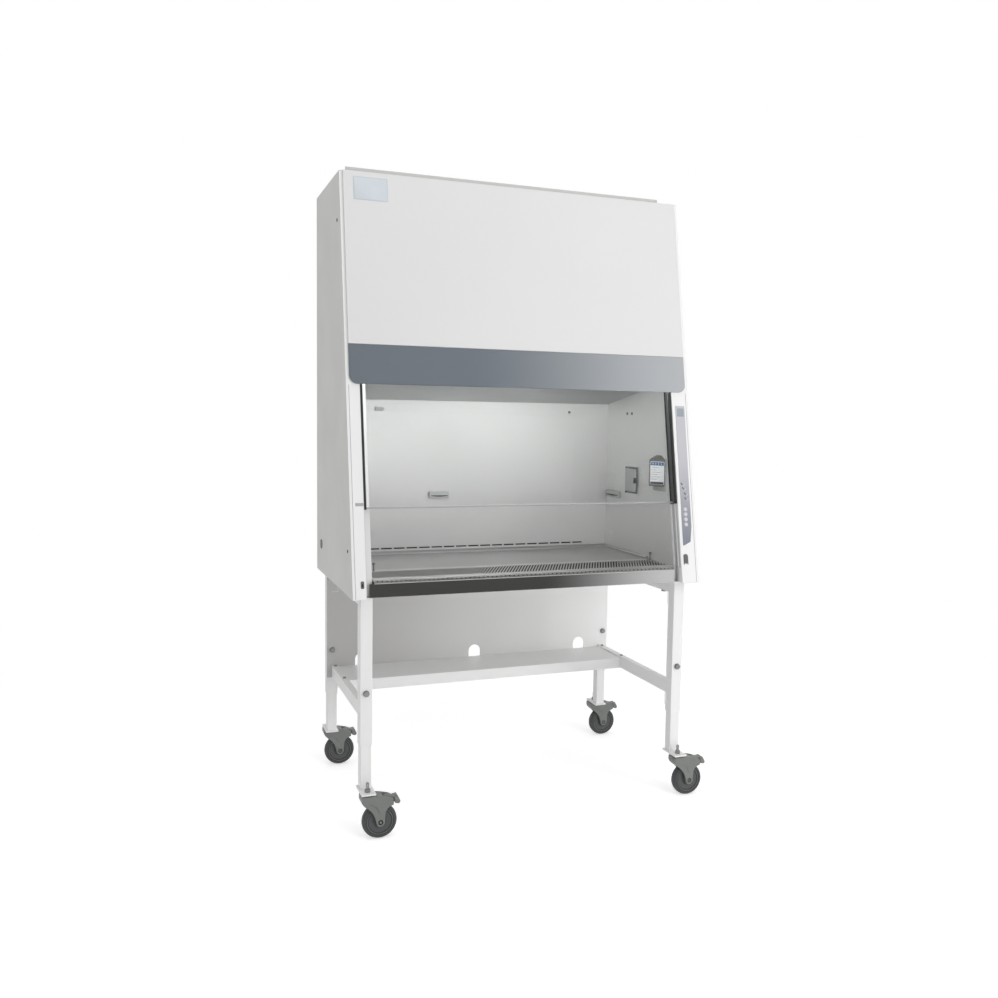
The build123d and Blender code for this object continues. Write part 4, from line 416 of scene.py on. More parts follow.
def finishes() -> dict[str, bpy.types.Material]:
    """Build every finish once.

    Returns:
        The materials by the short names that the classes below use.
    """
    kinds = {
        # The side, rear and top panels wear the same white coat as the posts, painted darker here as painted shade.
        "panel": PowderCoat("panel_coat_painted_shade", (0.585, 0.58, 0.565), peel=0.02),
        "post": PowderCoat("post_powder_coat", (0.90, 0.90, 0.895), peel=0.02),
        "header": PowderCoat("header_powder_coat", (0.765, 0.765, 0.763), 0.4, 0.01),
        # The header band is grey-blue; its run from dark at the left to lighter at the right is a painted sheen.
        "band": PowderCoat("band_coat_painted_sheen", (0.125, 0.15, 0.175), 0.34, 0.01, far=(0.44, 0.455, 0.475)),
        "stand": PowderCoat("stand_powder_coat", (0.90, 0.90, 0.895), 0.45, 0.02),
        # The stand's back panel is the stand's white coat, darker towards the left as painted shade.
        "stand_panel": PowderCoat(
            "stand_panel_coat_painted_shade", (0.52, 0.515, 0.505), 0.45, 0.02, far=(0.93, 0.93, 0.925), run=(-0.75, 0.62)
        ),
        "steel_x": BrushedSteel("brushed_steel_across", Grain.ALONG_X, (0.69, 0.69, 0.685), 0.62),
        "steel_z": BrushedSteel("brushed_steel_upright", Grain.ALONG_Z, (0.80, 0.80, 0.795), 0.52),
        # The front trim is dark polished steel; its run to lighter at the right is a painted reflection.
        "trim": BrushedSteel(
            "trim_steel_painted_reflection", Grain.ALONG_X, (0.06, 0.06, 0.057), 0.2, far=(0.55, 0.55, 0.55)
        ),
        "steel_floor": BrushedSteel("brushed_steel_tray", Grain.ALONG_X, (0.45, 0.45, 0.445), 0.34),
        # The base pan's upward faces are painted dark as painted shade below the grille.
        "steel_well": BrushedSteel("brushed_steel_well_painted_shade", Grain.ALONG_X, (0.61, 0.61, 0.605), 0.62, well=True),
        # The grille's slit walls are painted near black as painted shade.
        "steel_nose": BrushedSteel("brushed_steel_grille_painted_shade", Grain.ALONG_X, (0.60, 0.60, 0.59), 0.3, slit=True),
        "track": BrushedSteel("track_aluminium", Grain.ALONG_Z, (0.70, 0.71, 0.71), 0.42),
        "zinc": MoldedPlastic("zinc_plate", (0.27, 0.275, 0.28), 0.32, 0.05, 1.0),
        "brass": MoldedPlastic("turned_brass", (0.62, 0.47, 0.2), 0.28, 0.04, 1.0),
        "diffuser": PerforatedSheet("diffuser_perforated"),
        "rubber": MoldedPlastic("black_wiper_rubber", (0.02, 0.02, 0.021), 0.6),
        "glass": ClearPane("sash_laminated_glass"),
        "caster": MoldedPlastic("caster_moulding", (0.20, 0.21, 0.20), 0.42),
        "wheel": MoldedPlastic("wheel_tread_rubber", (0.055, 0.058, 0.058), 0.55),
        "wheel_ring": MoldedPlastic("wheel_ring_grey", (0.20, 0.205, 0.205), 0.5),
        "wheel_web": MoldedPlastic("wheel_disc_grey", (0.085, 0.088, 0.09), 0.5),
        "fitting": MoldedPlastic("fitting_grey_plastic", (0.42, 0.43, 0.42), 0.5),
        "overlay": MoldedPlastic("console_film", (0.225, 0.24, 0.285), 0.35, 0.03, high=(0.54, 0.54, 0.575)),
        "button": MoldedPlastic("button_pale_plastic", (0.72, 0.73, 0.76), 0.4),
        "display": MoldedPlastic("display_housing_plastic", (0.17, 0.17, 0.165), 0.5),
        "paper": MoldedPlastic("filter_paper", (0.82, 0.82, 0.78), 0.8),
        "iron": MoldedPlastic("weight_cast_iron", (0.09, 0.09, 0.095), 0.7, 0.4, 0.6),
        "plate": MoldedPlastic("bare_plate_film", (0.60, 0.65, 0.69), 0.35, 0.03),
        "plate_field": MoldedPlastic("bare_plate_field", (0.68, 0.73, 0.77), 0.35, 0.03),
        "dark_plastic": MoldedPlastic("dark_grey_plastic", (0.12, 0.125, 0.125), 0.45),
        "seam": MoldedPlastic("seam_shade", (0.42, 0.42, 0.47), 0.5, 0.03),
        "mark": MoldedPlastic("grey_film", (0.42, 0.42, 0.42), 0.45, 0.05),
        "bezel": MoldedPlastic("pale_ring_plastic", (0.62, 0.63, 0.68), 0.35, 0.05),
        "window": MoldedPlastic("console_window_film", (0.36, 0.40, 0.44), 0.25, 0.03),
        # Near black for pieces that stand for shade: painted shade at the port flaps, the grille's nose holes and
        # the sheets behind slits and slots.
        "shadow": MoldedPlastic("painted_shade_black", (0.012, 0.012, 0.013), 0.7, 0.05),
        "stile": BrushedSteel("stile_anodised", Grain.ALONG_Z, (0.16, 0.165, 0.17), 0.4),
        "bright": BrushedSteel("bright_rail_aluminium", Grain.ALONG_X, (0.45, 0.46, 0.46), 0.4),
        "screen": MoldedPlastic("screen_white", (0.88, 0.89, 0.9), 0.15, 0.0),
        "screen_blue": MoldedPlastic("screen_blue_bar", (0.05, 0.13, 0.30), 0.3, 0.0),
        "screen_dark": MoldedPlastic("screen_dark_bar", (0.03, 0.038, 0.05), 0.3, 0.0),
        "screen_grey": MoldedPlastic("screen_grey_rows", (0.27, 0.30, 0.34), 0.2, 0.0),
        "lamp": LitTube("lamp_opal_glass"),
    }
    return {key: kind.build() for key, kind in kinds.items()}


FINISH: dict[str, bpy.types.Material] = {}


def dress(finish: str, *nodes: str) -> None:
    """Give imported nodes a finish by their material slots.

    Args:
        finish: Name of the finish.
        nodes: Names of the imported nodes.
    """
    for name in nodes:
        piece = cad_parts[name]
        if not piece.material_slots:
            piece.data.materials.append(FINISH[finish])
        for place in piece.material_slots:
            place.material = FINISH[finish]
    LOG.info("%s on %s", finish, ", ".join(nodes))


def settle(piece: Piece, smooth: float = 35.0) -> Piece:
    """Shade a finished piece smooth below an angle in degrees, and leave nothing selected."""
    bpy.ops.object.select_all(action="DESELECT")
    piece.select_set(True)
    bpy.context.view_layer.objects.active = piece
    bpy.ops.object.shade_smooth_by_angle(angle=radians(smooth))
    bpy.ops.object.select_all(action="DESELECT")
    return piece


def modify(piece: Piece, kind: str, **values: object) -> None:
    """Add a modifier with its settings and apply it.

    Args:
        piece: The piece.
        kind: Blender's name for the modifier.
        values: Its settings.
    """
    bpy.ops.object.select_all(action="DESELECT")
    piece.select_set(True)
    bpy.context.view_layer.objects.active = piece
    modifier = piece.modifiers.new(kind.lower(), kind)
    for key, value in values.items():
        setattr(modifier, key, value)
    bpy.ops.object.modifier_apply(modifier=modifier.name)


def soften(piece: Piece, width: float, segments: int = 3, angle: float = 40.0) -> None:
    """Round a piece's sharp edges by a width in metres."""
    modify(piece, "BEVEL", width=width, segments=segments, limit_method="ANGLE", angle_limit=radians(angle))


def cut(piece: Piece, tool: Piece) -> None:
    """Cut one piece with another, which is used up."""
    modify(piece, "BOOLEAN", operation="DIFFERENCE", object=tool, solver="EXACT")
    bpy.data.objects.remove(tool, do_unlink=True)


def slab(
    name: str, corners: Sequence[Vector], out: Vector, rounding: float = 0.0, segments: int = 3
) -> Piece:
    """Extrude an outline into a plate or block.

    Args:
        name: The piece's name.
        corners: The outline, in order.
        out: How far and which way it is extruded.
        rounding: Radius in metres of its rounded edges, or 0.
        segments: Faces across each rounded edge.

    Returns:
        The piece.
    """
    bpy.ops.object.select_all(action="DESELECT")
    bpy.ops.mesh.primitive_circle_add(vertices=len(corners), radius=0.01, fill_type="NGON")
    piece = bpy.context.object
    piece.name = name
    for vertex, corner in zip(piece.data.vertices, corners):
        vertex.co = corner
    bpy.ops.object.mode_set(mode="EDIT")
    bpy.ops.mesh.select_all(action="SELECT")
    bpy.ops.mesh.extrude_region_move(TRANSFORM_OT_translate={"value": tuple(out)})
    bpy.ops.mesh.select_all(action="SELECT")
    bpy.ops.mesh.normals_make_consistent(inside=False)
    bpy.ops.object.mode_set(mode="OBJECT")
    if rounding:
        soften(piece, rounding, segments)
    return settle(piece)


def rounded(width: float, height: float, radius: float, steps: int = 5) -> list[tuple[float, float]]:
    """Give the outline of a rounded rectangle about zero, in the units of its sizes."""
    corners = ((1, 1, 0), (-1, 1, 90), (-1, -1, 180), (1, -1, 270))
    outline = []
    for side_x, side_y, start in corners:
        for step in range(steps + 1):
            angle = radians(start + 90 * step / steps)
            x = side_x * (width / 2 - radius) + radius * cos(angle)
            y = side_y * (height / 2 - radius) + radius * sin(angle)
            outline.append((x, y))
    return outline


def on_plane(matrix: Matrix, outline: Iterable[tuple[float, float]]) -> list[Vector]:
    """Lay an outline in millimetres on the plane of a frame in metres."""
    return [matrix @ Vector((x / 1000, y / 1000, 0)) for x, y in outline]


def patch(
    name: str, matrix: Matrix, outline: Iterable[tuple[float, float]], depth: float, rounding: float = 0.0
) -> Piece:
    """Extrude an outline in millimetres out of the plane of a frame, by a depth in millimetres."""
    out = (matrix.to_3x3() @ Vector((0, 0, depth))) / 1000
    return slab(name, on_plane(matrix, outline), out, rounding / 1000)


def lathe(
    name: str, profile: Sequence[tuple[float, float]], centre: Vector, axis: Vector, steps: int = 48
) -> Piece:
    """Turn a closed profile round an axis.

    Args:
        name: The piece's name.
        profile: Points as distance along the axis and radius, in millimetres.
        centre: The point on the axis that the profile is measured from, in metres.
        axis: The axis.
        steps: Faces round it.

    Returns:
        The piece.
    """
    axis = axis.normalized()
    side = axis.orthogonal().normalized()
    bpy.ops.object.select_all(action="DESELECT")
    bpy.ops.mesh.primitive_circle_add(vertices=len(profile), radius=0.01, fill_type="NOTHING")
    piece = bpy.context.object
    piece.name = name
    for vertex, (along, radius) in zip(piece.data.vertices, profile):
        vertex.co = centre + axis * along / 1000 + side * radius / 1000
    bpy.ops.object.mode_set(mode="EDIT")
    bpy.ops.mesh.select_all(action="SELECT")
    bpy.ops.mesh.spin(steps=steps, angle=2 * pi, center=centre, axis=axis, use_auto_merge=True)
    bpy.ops.mesh.select_all(action="SELECT")
    bpy.ops.mesh.remove_doubles(threshold=0.00002)
    bpy.ops.mesh.normals_make_consistent(inside=False)
    bpy.ops.object.mode_set(mode="OBJECT")
    return settle(piece)


def disc(
    name: str, centre: Vector, axis: Vector, radius: float, depth: float, edge: float = 0.4, steps: int = 32
) -> Piece:
    """Turn a round button or plug with softened edges, by sizes in millimetres."""
    profile = ((0, 0.01), (0, radius), (depth - edge, radius), (depth, radius - edge), (depth, 0.01))
    return lathe(name, profile, centre, axis, steps)


def join(name: str, pieces: Sequence[Piece]) -> Piece:
    """Join several pieces into one."""
    bpy.ops.object.select_all(action="DESELECT")
    for piece in pieces:
        piece.select_set(True)
    bpy.context.view_layer.objects.active = pieces[0]
    bpy.ops.object.join()
    pieces[0].name = name
    bpy.ops.object.select_all(action="DESELECT")
    return pieces[0]


def copy_to(piece: Piece, name: str, shift: Vector) -> Piece:
    """Copy a piece with its own mesh, moved by a shift in metres."""
    twin = piece.copy()
    twin.data = piece.data.copy()
    twin.name = name
    twin.data.transform(Matrix.Translation(shift))
    bpy.context.scene.collection.objects.link(twin)
    return twin


def fit(piece: Piece, body: str, finish: str, replaced: Sequence[str] = ()) -> None:
    """Give a new piece its finish, its body and the nodes that it stands for.

    Args:
        piece: The piece.
        body: The body it moves with.
        finish: Name of the finish.
        replaced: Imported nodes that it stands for.
    """
    if not piece.data.materials:
        piece.data.materials.append(FINISH[finish])
    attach(piece, body)
    if replaced:
        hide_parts(*replaced)
    LOG.info("%s on %s, %s", piece.name, body, finish)


@dataclass
class Casters:
    """Four braked swivel casters: hooded forks, ringed wheels and toothed brake pedals."""

    leg_x: float = 631.4
    front_y: float = 24.0
    rear_y: float = 788.0
    trail: float = 42.5
    wheel_radius: float = 63.5
    fork_half: float = 27.0
    well_radius: float = 68.0
    well_half: float = 18.0

    def local(self, x: float, y: float, z: float) -> Vector:
        """Turn a point about a stem at zero into metres."""
        return Vector((x, y, z)) / 1000

    def fork(self) -> Piece:
        """Model the moulded fork: a side outline, hollowed for the wheel and the pedal."""
        outline = (
            (-24, 161), (-26, 157), (-26, 142), (-21, 133), (-12, 124), (-2, 117), (9, 106), (17, 94),
            (22, 82), (26.5, 66), (28, 58), (33, 50.5), (42, 47.5), (51, 50.5), (57, 58), (58.5, 68),
            (59, 84), (61, 100), (66, 111), (75, 118), (90, 123.5), (90.5, 134), (88, 147), (74, 152.5),
            (54, 157), (34, 161),
        )
        corners = [self.local(x, -self.fork_half, z) for x, z in outline]
        fork = slab("fork", corners, self.local(0, 2 * self.fork_half, 0))
        fork_cheek = slab("fork_cheek", [self.local(x, -19.5, z) for x, z in (
            (62, 117), (100, 117), (100, 170), (52, 170), (52, 130))], self.local(0, 0, 0) + self.local(0, 39, 0))
        cut(fork, fork_cheek)
        soften(fork, 0.0035, 3)
        well = lathe("well", (
            (-self.well_half, 0.01), (-self.well_half, self.well_radius), (self.well_half, self.well_radius),
            (self.well_half, 0.01)), self.local(self.trail, 0, self.wheel_radius), Vector((0, 1, 0)), 64)
        cut(fork, well)
        grooves = []
        for side in (-1, 1):
            crescent = (
                (4, 134), (16, 131), (26, 124), (33, 113), (37, 100), (35, 100), (30, 110), (23, 119),
                (14, 126.5), (4, 130),
            )
            edge = self.local(0, side * (self.fork_half + 1), 0)
            grooves.append(slab("groove", [self.local(x, 0, z) + edge for x, z in crescent],
                                self.local(0, -side * 2.2, 0)))
        for groove in grooves:
            cut(fork, groove)
        flange = lathe("head", (
            (0, 8), (0, 22), (1.5, 25.5), (5, 26.8), (8, 26.8), (9, 25.2), (10.5, 25.2), (11.5, 26.4),
            (17, 25.4), (17, 8)), self.local(0, 0, 161.7), Vector((0, 0, -1)), 48)
        caps = []
        for side in (-1, 1):
            caps.append(lathe("axle_cap", (
                (-3, 0.01), (-3, 9.5), (0.2, 9.5), (0.8, 8.8), (0.8, 5), (-0.4, 4.2), (-0.4, 0.01)),
                self.local(self.trail, side * 26.2, self.wheel_radius), Vector((0, side, 0)), 24))
        return settle(join("fork", [fork, flange, *caps]), 30)

    def wheel(self) -> Piece:
        """Turn the wheel: rounded tread, a raised ring, a dished disc and a hub."""
        half = (
            (0, 63.5), (7, 62.9), (12, 60.8), (15, 57), (16, 52.5), (15.4, 50.2), (13.8, 49.4), (13.8, 48.2),
            (15.0, 47.6), (15.0, 45.2), (13.6, 44.4), (11.6, 41), (10.8, 34), (11.2, 24), (13.4, 19.5),
            (17.6, 18), (17.6, 5.2),
        )
        profile = list(half) + [(-along, radius) for along, radius in reversed(half[1:])]
        return lathe("wheel", profile, self.local(self.trail, 0, self.wheel_radius), Vector((0, 1, 0)), 72)

    def faces(self, profile: Sequence[tuple[float, float]]) -> Piece:
        """Turn one closed ring for each face of the wheel.

        Args:
            profile: Its section as places along the axle and radii, going round once.
        """
        hub = self.local(self.trail, 0, self.wheel_radius)
        return join("ring", [lathe("ring", profile, hub, Vector((0, side, 0)), 72) for side in (-1, 1)])

    def pedal(self) -> Piece:
        """Model the brake pedal: a narrow root on its pin and a wide toothed tip."""
        root = slab("pedal_root", [self.local(x, -12.6, z) for x, z in (
            (55, 149), (55, 136), (66, 133.5), (84, 132), (97, 128), (97, 147), (84, 151.5), (70, 153))],
            self.local(0, 25.2, 0), 0.0015)
        tip = slab("pedal_tip", [self.local(x, -22, z) for x, z in (
            (92.6, 148.5), (93.2, 133), (96.5, 125.5), (109, 122.6), (115.4, 127.5), (115.8, 132), (106, 149.5),
            (99, 147.4))], self.local(0, 44, 0), 0.0025)
        ribs = []
        for index in range(4):
            y = -15 + 10 * index
            ribs.append(slab("rib", [self.local(x, y - 2, z) for x, z in (
                (104.5, 149.6), (106.5, 151.2), (114.6, 136.2), (113.2, 134.6))], self.local(0, 4, 0), 0.0006))
        return join("pedal", [root, tip, *ribs])

    def build(self) -> None:
        """Model one caster and stand its copies at the four corners."""
        models = {"caster": self.fork(), "wheel": self.wheel(), "pedal": self.pedal()}
        finish = {"caster": "caster", "wheel": "wheel", "pedal": "caster"}
        rings = {"ring": self.faces(((14.6, 45.2), (15.7, 45.5), (16.1, 46.4), (15.7, 47.3), (14.6, 47.6)))}
        rings["web"] = self.faces(((11.5, 22), (11.7, 22.4), (11.3, 34), (12.1, 40.6), (11.6, 41), (10.6, 34)))
        for row, y in (("front", self.front_y), ("rear", self.rear_y)):
            for side, sign in (("left", -1), ("right", 1)):
                shift = SITE.at(sign * self.leg_x, y, 0)
                for kind, model in models.items():
                    node = f"{kind}_{row}_{side}"
                    twin = copy_to(model, f"{node}_detail", shift)
                    fit(twin, node, finish[kind], (node,))
                for kind, model in rings.items():
                    wheel = f"wheel_{row}_{side}"
                    fit(copy_to(model, f"{wheel}_{kind}", shift), wheel, f"wheel_{kind}")
        for model in (*models.values(), *rings.values()):
            bpy.data.objects.remove(model, do_unlink=True)


def bar(name: str, x: Point, depth: Point, height: Point, rounding: float = 0.3) -> Piece:
    """Extrude a bar up the leaning front.

    Args:
        name: The piece's name.
        x: Its left and right edges in millimetres.
        depth: Its front and back behind the front.
        height: Its lower and upper ends up the front.
        rounding: Radius of its edges.

    Returns:
        The piece.
    """
    low = [SITE.on_front(x[i], depth[j], height[0]) for i, j in ((0, 0), (1, 0), (1, 1), (0, 1))]
    up = SITE.on_front(0, 0, height[1]) - SITE.on_front(0, 0, height[0])
    return slab(name, low, up, rounding / 1000, 2)


def block(name: str, low: Point, high: Point, rounding: float = 0.5) -> Piece:
    """Extrude a level block between two corners in millimetres, with rounded edges."""
    corners = ((low[0], low[1]), (high[0], low[1]), (high[0], high[1]), (low[0], high[1]))
    base = [SITE.at(x, y, low[2]) for x, y in corners]
    return slab(name, base, Vector((0, 0, (high[2] - low[2]) / 1000)), rounding / 1000, 2)


def wall_matrix(place: Vector, out: Vector) -> Matrix:
    """Give the frame of a spot on an upright wall that faces `out`: Y up, Z out of the wall."""
    up = Vector((0, 0, 1))
    right = up.cross(out.normalized())
    turn = Matrix((right, up, out.normalized())).transposed().to_4x4()
    return Matrix.Translation(place) @ turn


@dataclass
class FrontPanels:
    """What is fixed on the posts and the header: bare plates, a hook, a mark and a peg hole."""

    plate_center: tuple[float, float] = (-578.0, 1470.3)
    plate_size: tuple[float, float] = (126.0, 86.0)
    seam_x: float = 680.5
    seam_run: tuple[float, float] = (4.0, 756.0)

    def name_plate(self) -> None:
        """Fix a bare pale plate with a fine raised border on the header."""
        spot = SITE.front_matrix(self.plate_center[0], -7.0, self.plate_center[1])
        plate = patch("header_plate", spot, rounded(*self.plate_size, 4), 0.5, 0.2)
        fit(plate, "cabinet", "plate")
        field = rounded(self.plate_size[0] - 7, self.plate_size[1] - 7, 3)
        inner = patch("header_plate_field", spot, field, 0.62, 0.05)
        fit(inner, "cabinet", "plate_field")

    def post_marks(self) -> None:
        """Fix the peg hole and the grey mark on the left post, and the clip on the right post."""
        spot = SITE.front_matrix(-654.5, 0.0, 52.0)
        hole = patch("post_peg_socket", spot, rounded(12, 26, 4), 0.9, 0.3)
        fit(hole, "cabinet", "dark_plastic")
        core = patch("post_peg_core", spot @ Matrix.Translation((0, -0.002, 0)), rounded(6.5, 12, 2.6), 1.2, 0.2)
        fit(core, "cabinet", "rubber")
        spot = SITE.front_matrix(-656.0, 0.0, 332.0)
        mark = patch("sash_height_mark", spot, rounded(29, 11, 1), 0.35, 0.1)
        fit(mark, "cabinet", "mark")
        spot = SITE.front_matrix(636.0, 0.0, 94.0)
        outline = [
            (-9, -22), (-4, -13), (0, -20), (4, -13), (9, -22), (9.5, -10), (9.5, 12), (7, 17), (2, 20), (-5, 19.5),
            (-9.5, 16), (-9.5, -10),
        ]
        clip = patch("post_hose_clip", spot, outline, 3.0, 0.6)
        fit(clip, "cabinet", "dark_plastic")

    def seams(self) -> None:
        """Run the fine seam down both posts, where the side panel's folded edge laps the front."""
        lines = []
        for sign in (-1, 1):
            edge = sorted((sign * self.seam_x, sign * (self.seam_x - 1.8)))
            lines.append(bar("seam", edge, (-0.25, 0.2), self.seam_run, 0.08))
        fit(join("post_seams", lines), "cabinet", "seam")

    def build(self) -> None:
        """Make every plate."""
        self.name_plate()
        self.post_marks()
        self.seams()


@dataclass
class Console:
    """The control strip on the right post: status marks, a blank window and four domed buttons."""

    button_x: float = 646.5
    first_button: float = 230.5
    pitch: float = 20.0
    marks: tuple[tuple[float, float], ...] = ((637.0, 391.4), (642.0, 374.2), (649.0, 352.8), (650.0, 333.6))

    def button(self, index: int) -> None:
        """Turn one dished button and ride it on its own body."""
        spot = SITE.front_matrix(self.button_x, 0.0, self.first_button + index * self.pitch)
        profile = (
            (1.2, 0.01), (1.2, 6.5), (3.3, 6.5), (4.0, 6.1), (4.2, 5.3), (3.8, 4.4), (3.5, 3.0), (3.4, 0.01),
        )
        axis = spot.to_3x3() @ Vector((0, 0, 1))
        node = f"button_{index + 1}"
        fit(lathe(f"{node}_detail", profile, spot.translation, axis, 32), node, "button", (node,))
        bezel = lathe(f"{node}_bezel", (
            (2.0, 7.0), (2.0, 8.6), (2.5, 8.4), (2.7, 7.8), (2.5, 7.1)), spot.translation, axis, 32)
        fit(bezel, "cabinet", "bezel")

    def status_marks(self) -> None:
        """Fix four small dark indicator lenses and the blank square window at the top."""
        for index, (x, height) in enumerate(self.marks):
            spot = SITE.front_matrix(x, -2.0, height)
            turned = spot @ Matrix.Rotation(radians(-52), 4, "Z")
            lens = patch(f"status_lens_{index + 1}", turned, rounded(12.5, 5.0, 2.2), 0.5, 0.2)
            fit(lens, "cabinet", "dark_plastic")
            arc = patch(f"status_arc_{index + 1}", spot @ Matrix.Translation((0.0075, -0.002, 0)),
                        [(5.6 * cos(radians(a)), 5.6 * sin(radians(a))) for a in range(-150, 31, 20)]
                        + [(3.6 * cos(radians(a)), 3.6 * sin(radians(a))) for a in range(30, -151, -20)], 0.35)
            fit(arc, "cabinet", "bezel")
        spot = SITE.front_matrix(650.5, -2.0, 678.0)
        window = patch("console_window", spot, rounded(31, 33, 2), 0.3, 0.1)
        fit(window, "cabinet", "window")

    def build(self) -> None:
        """Make the buttons and the marks."""
        for index in range(4):
            self.button(index)
        self.status_marks()


@dataclass
class Sash:
    """The sliding sash: grooved stiles, a bright bottom rail, a hanger bar and wiper blades."""

    left: float = -638.7
    right: float = 613.7
    stile: float = 10.0
    bottom: float = 318.0
    top: float = 1045.0

    def stiles(self) -> list[Piece]:
        """Extrude the two side stiles as ribbed aluminium sections around the guide rib."""
        pieces = []
        for outer, inward in ((self.left, 1), (self.right, -1)):
            inner = outer + inward * self.stile
            slot = outer + inward * 4.3
            ends = (self.bottom - 3, self.top)
            parts = (
                (sorted((slot, inner)), (11.0, 29.0)),
                (sorted((outer, slot)), (11.0, 17.0)),
                (sorted((outer, slot)), (23.0, 29.0)),
            )
            for index, (x, depth) in enumerate(parts):
                pieces.append(bar(f"stile_part_{index}", x, depth, ends, 0.5))
            for depth in (12.6, 15.0, 25.0, 27.4):
                line = sorted((inner - inward * 0.2, inner + inward * 0.25))
                pieces.append(bar("stile_ridge", line, (depth - 0.5, depth + 0.5), ends, 0.1))
        return pieces

    def build(self) -> None:
        """Make the sash's frame and wipers."""
        fit(join("sash_stiles", self.stiles()), "sash", "stile", ("sash_frame",))
        inner = (self.left + self.stile, self.right - self.stile)
        rail = bar("sash_bottom_channel", inner, (15.0, 25.0), (self.bottom, self.bottom + 6), 1.2)
        fit(rail, "sash", "bright")
        hanger = bar("sash_hanger_bar", inner, (13.0, 27.0), (self.top - 15, self.top + 15), 1.0)
        fit(hanger, "sash", "stile")
        blades = []
        for outer, inward in ((self.left, 1), (self.right, -1)):
            x = sorted((outer, outer + inward * 8))
            for depth in ((29.2, 33.0), (33.4, 38.0), (38.4, 43.0), (1.5, 5.5), (5.9, 10.9)):
                blades.append(bar("blade", x, depth, (self.bottom - 3, self.top), 0.8))
        fit(join("sash_wiper_blades", blades), "sash", "rubber", ("sash_wipers",))


@dataclass
class Grille:
    """The front air grille: a sheet with a rounded nose, close slanted slits and two lift studs."""

    half_width: float = 607.6
    top: float = 926.4
    skin: float = 2.0
    nose: tuple[tuple[float, float], ...] = (
        (33, 916.5), (38, 918.7), (43, 920.7), (50.6, 923.0), (58, 924.7), (66, 925.8), (75, 926.4),
    )
    back: float = 268.0
    slit_pitch: float = 11.8
    slit_half: float = 2.9
    slit_run: tuple[float, float] = (90.0, 230.0)
    slant: float = 26.0
    slit_edge: float = 596.0
    studs: tuple[tuple[float, float], ...] = ((-561.6, 247.0), (602.6, 239.0))

    def sheet(self) -> Piece:
        """Extrude the folded sheet along the cabinet's width."""
        upper = [*self.nose, (self.back, self.top)]
        lower = [(y, z - self.skin) for y, z in reversed(upper)]
        corners = [SITE.at(-self.half_width, y, z) for y, z in (*upper, *lower)]
        return slab("grille_sheet", corners, Vector((2 * self.half_width / 1000, 0, 0)))

    def slit(self, foot: float, low: float, high: float) -> Piece:
        """Model one slit's cutter.

        Args:
            foot: Where its centre line meets the front end of the slits.
            low: Where it starts, as a share of the full length.
            high: Where it ends.
        """
        depth = self.slit_run[1] - self.slit_run[0]
        lean = depth * sin(radians(self.slant)) / cos(radians(self.slant))
        ends = [(foot + lean * t, self.slit_run[0] + depth * t) for t in (low, high)]
        (x0, y0), (x1, y1) = ends
        half = self.slit_half
        outline = (
            (x0 - half, y0 + 2), (x0 - half * 0.3, y0), (x0 + half, y0 + 1), (x1 + half, y1 - 2),
            (x1 + half * 0.3, y1), (x1 - half, y1 - 1),
        )
        return slab("slit", [SITE.at(x, y, self.top - 6) for x, y in outline], Vector((0, 0, 0.012)))

    def slits(self) -> Piece:
        """Set the slits in a row, with those at the two ends cut short by the edge."""
        depth = self.slit_run[1] - self.slit_run[0]
        lean = depth * sin(radians(self.slant)) / cos(radians(self.slant))
        whole = self.slit(-self.slit_edge, 0.0, 1.0)
        pieces = [whole]
        count = int((2 * self.slit_edge + lean) / self.slit_pitch)
        for index in range(-int(lean / self.slit_pitch), count):
            foot = -self.slit_edge + index * self.slit_pitch
            low = max(0.0, (-self.slit_edge - foot) / lean)
            high = min(1.0, (self.slit_edge - foot) / lean)
            if index and (low, high) == (0.0, 1.0):
                pieces.append(copy_to(whole, "slit", Vector((index * self.slit_pitch / 1000, 0, 0))))
            elif index and high - low > 0.12:
                pieces.append(self.slit(foot, low, high))
        return join("slits", pieces)

    def build(self) -> None:
        """Cut the slits and the stile's notch, and turn the studs."""
        sheet = self.sheet()
        cut(sheet, self.slits())
        cut(sheet, block("notch", (601.7, 30.0, 905.0), (614.0, 56.0, 935.0), 0.0))
        fit(settle(sheet), "front_grille", "steel_nose", ("front_grille",))
        profile = (
            (0, 0.01), (0, 4.2), (3, 4.2), (4, 2.4), (23, 2.4), (24, 4.4), (25, 5.0), (30, 5.0), (31, 4.2),
            (31, 0.01),
        )
        pieces = [lathe("stud", profile, SITE.at(x, y, self.top), Vector((0, 0, 1)), 24) for x, y in self.studs]
        fit(join("grille_lift_studs", pieces), "front_grille", "zinc")


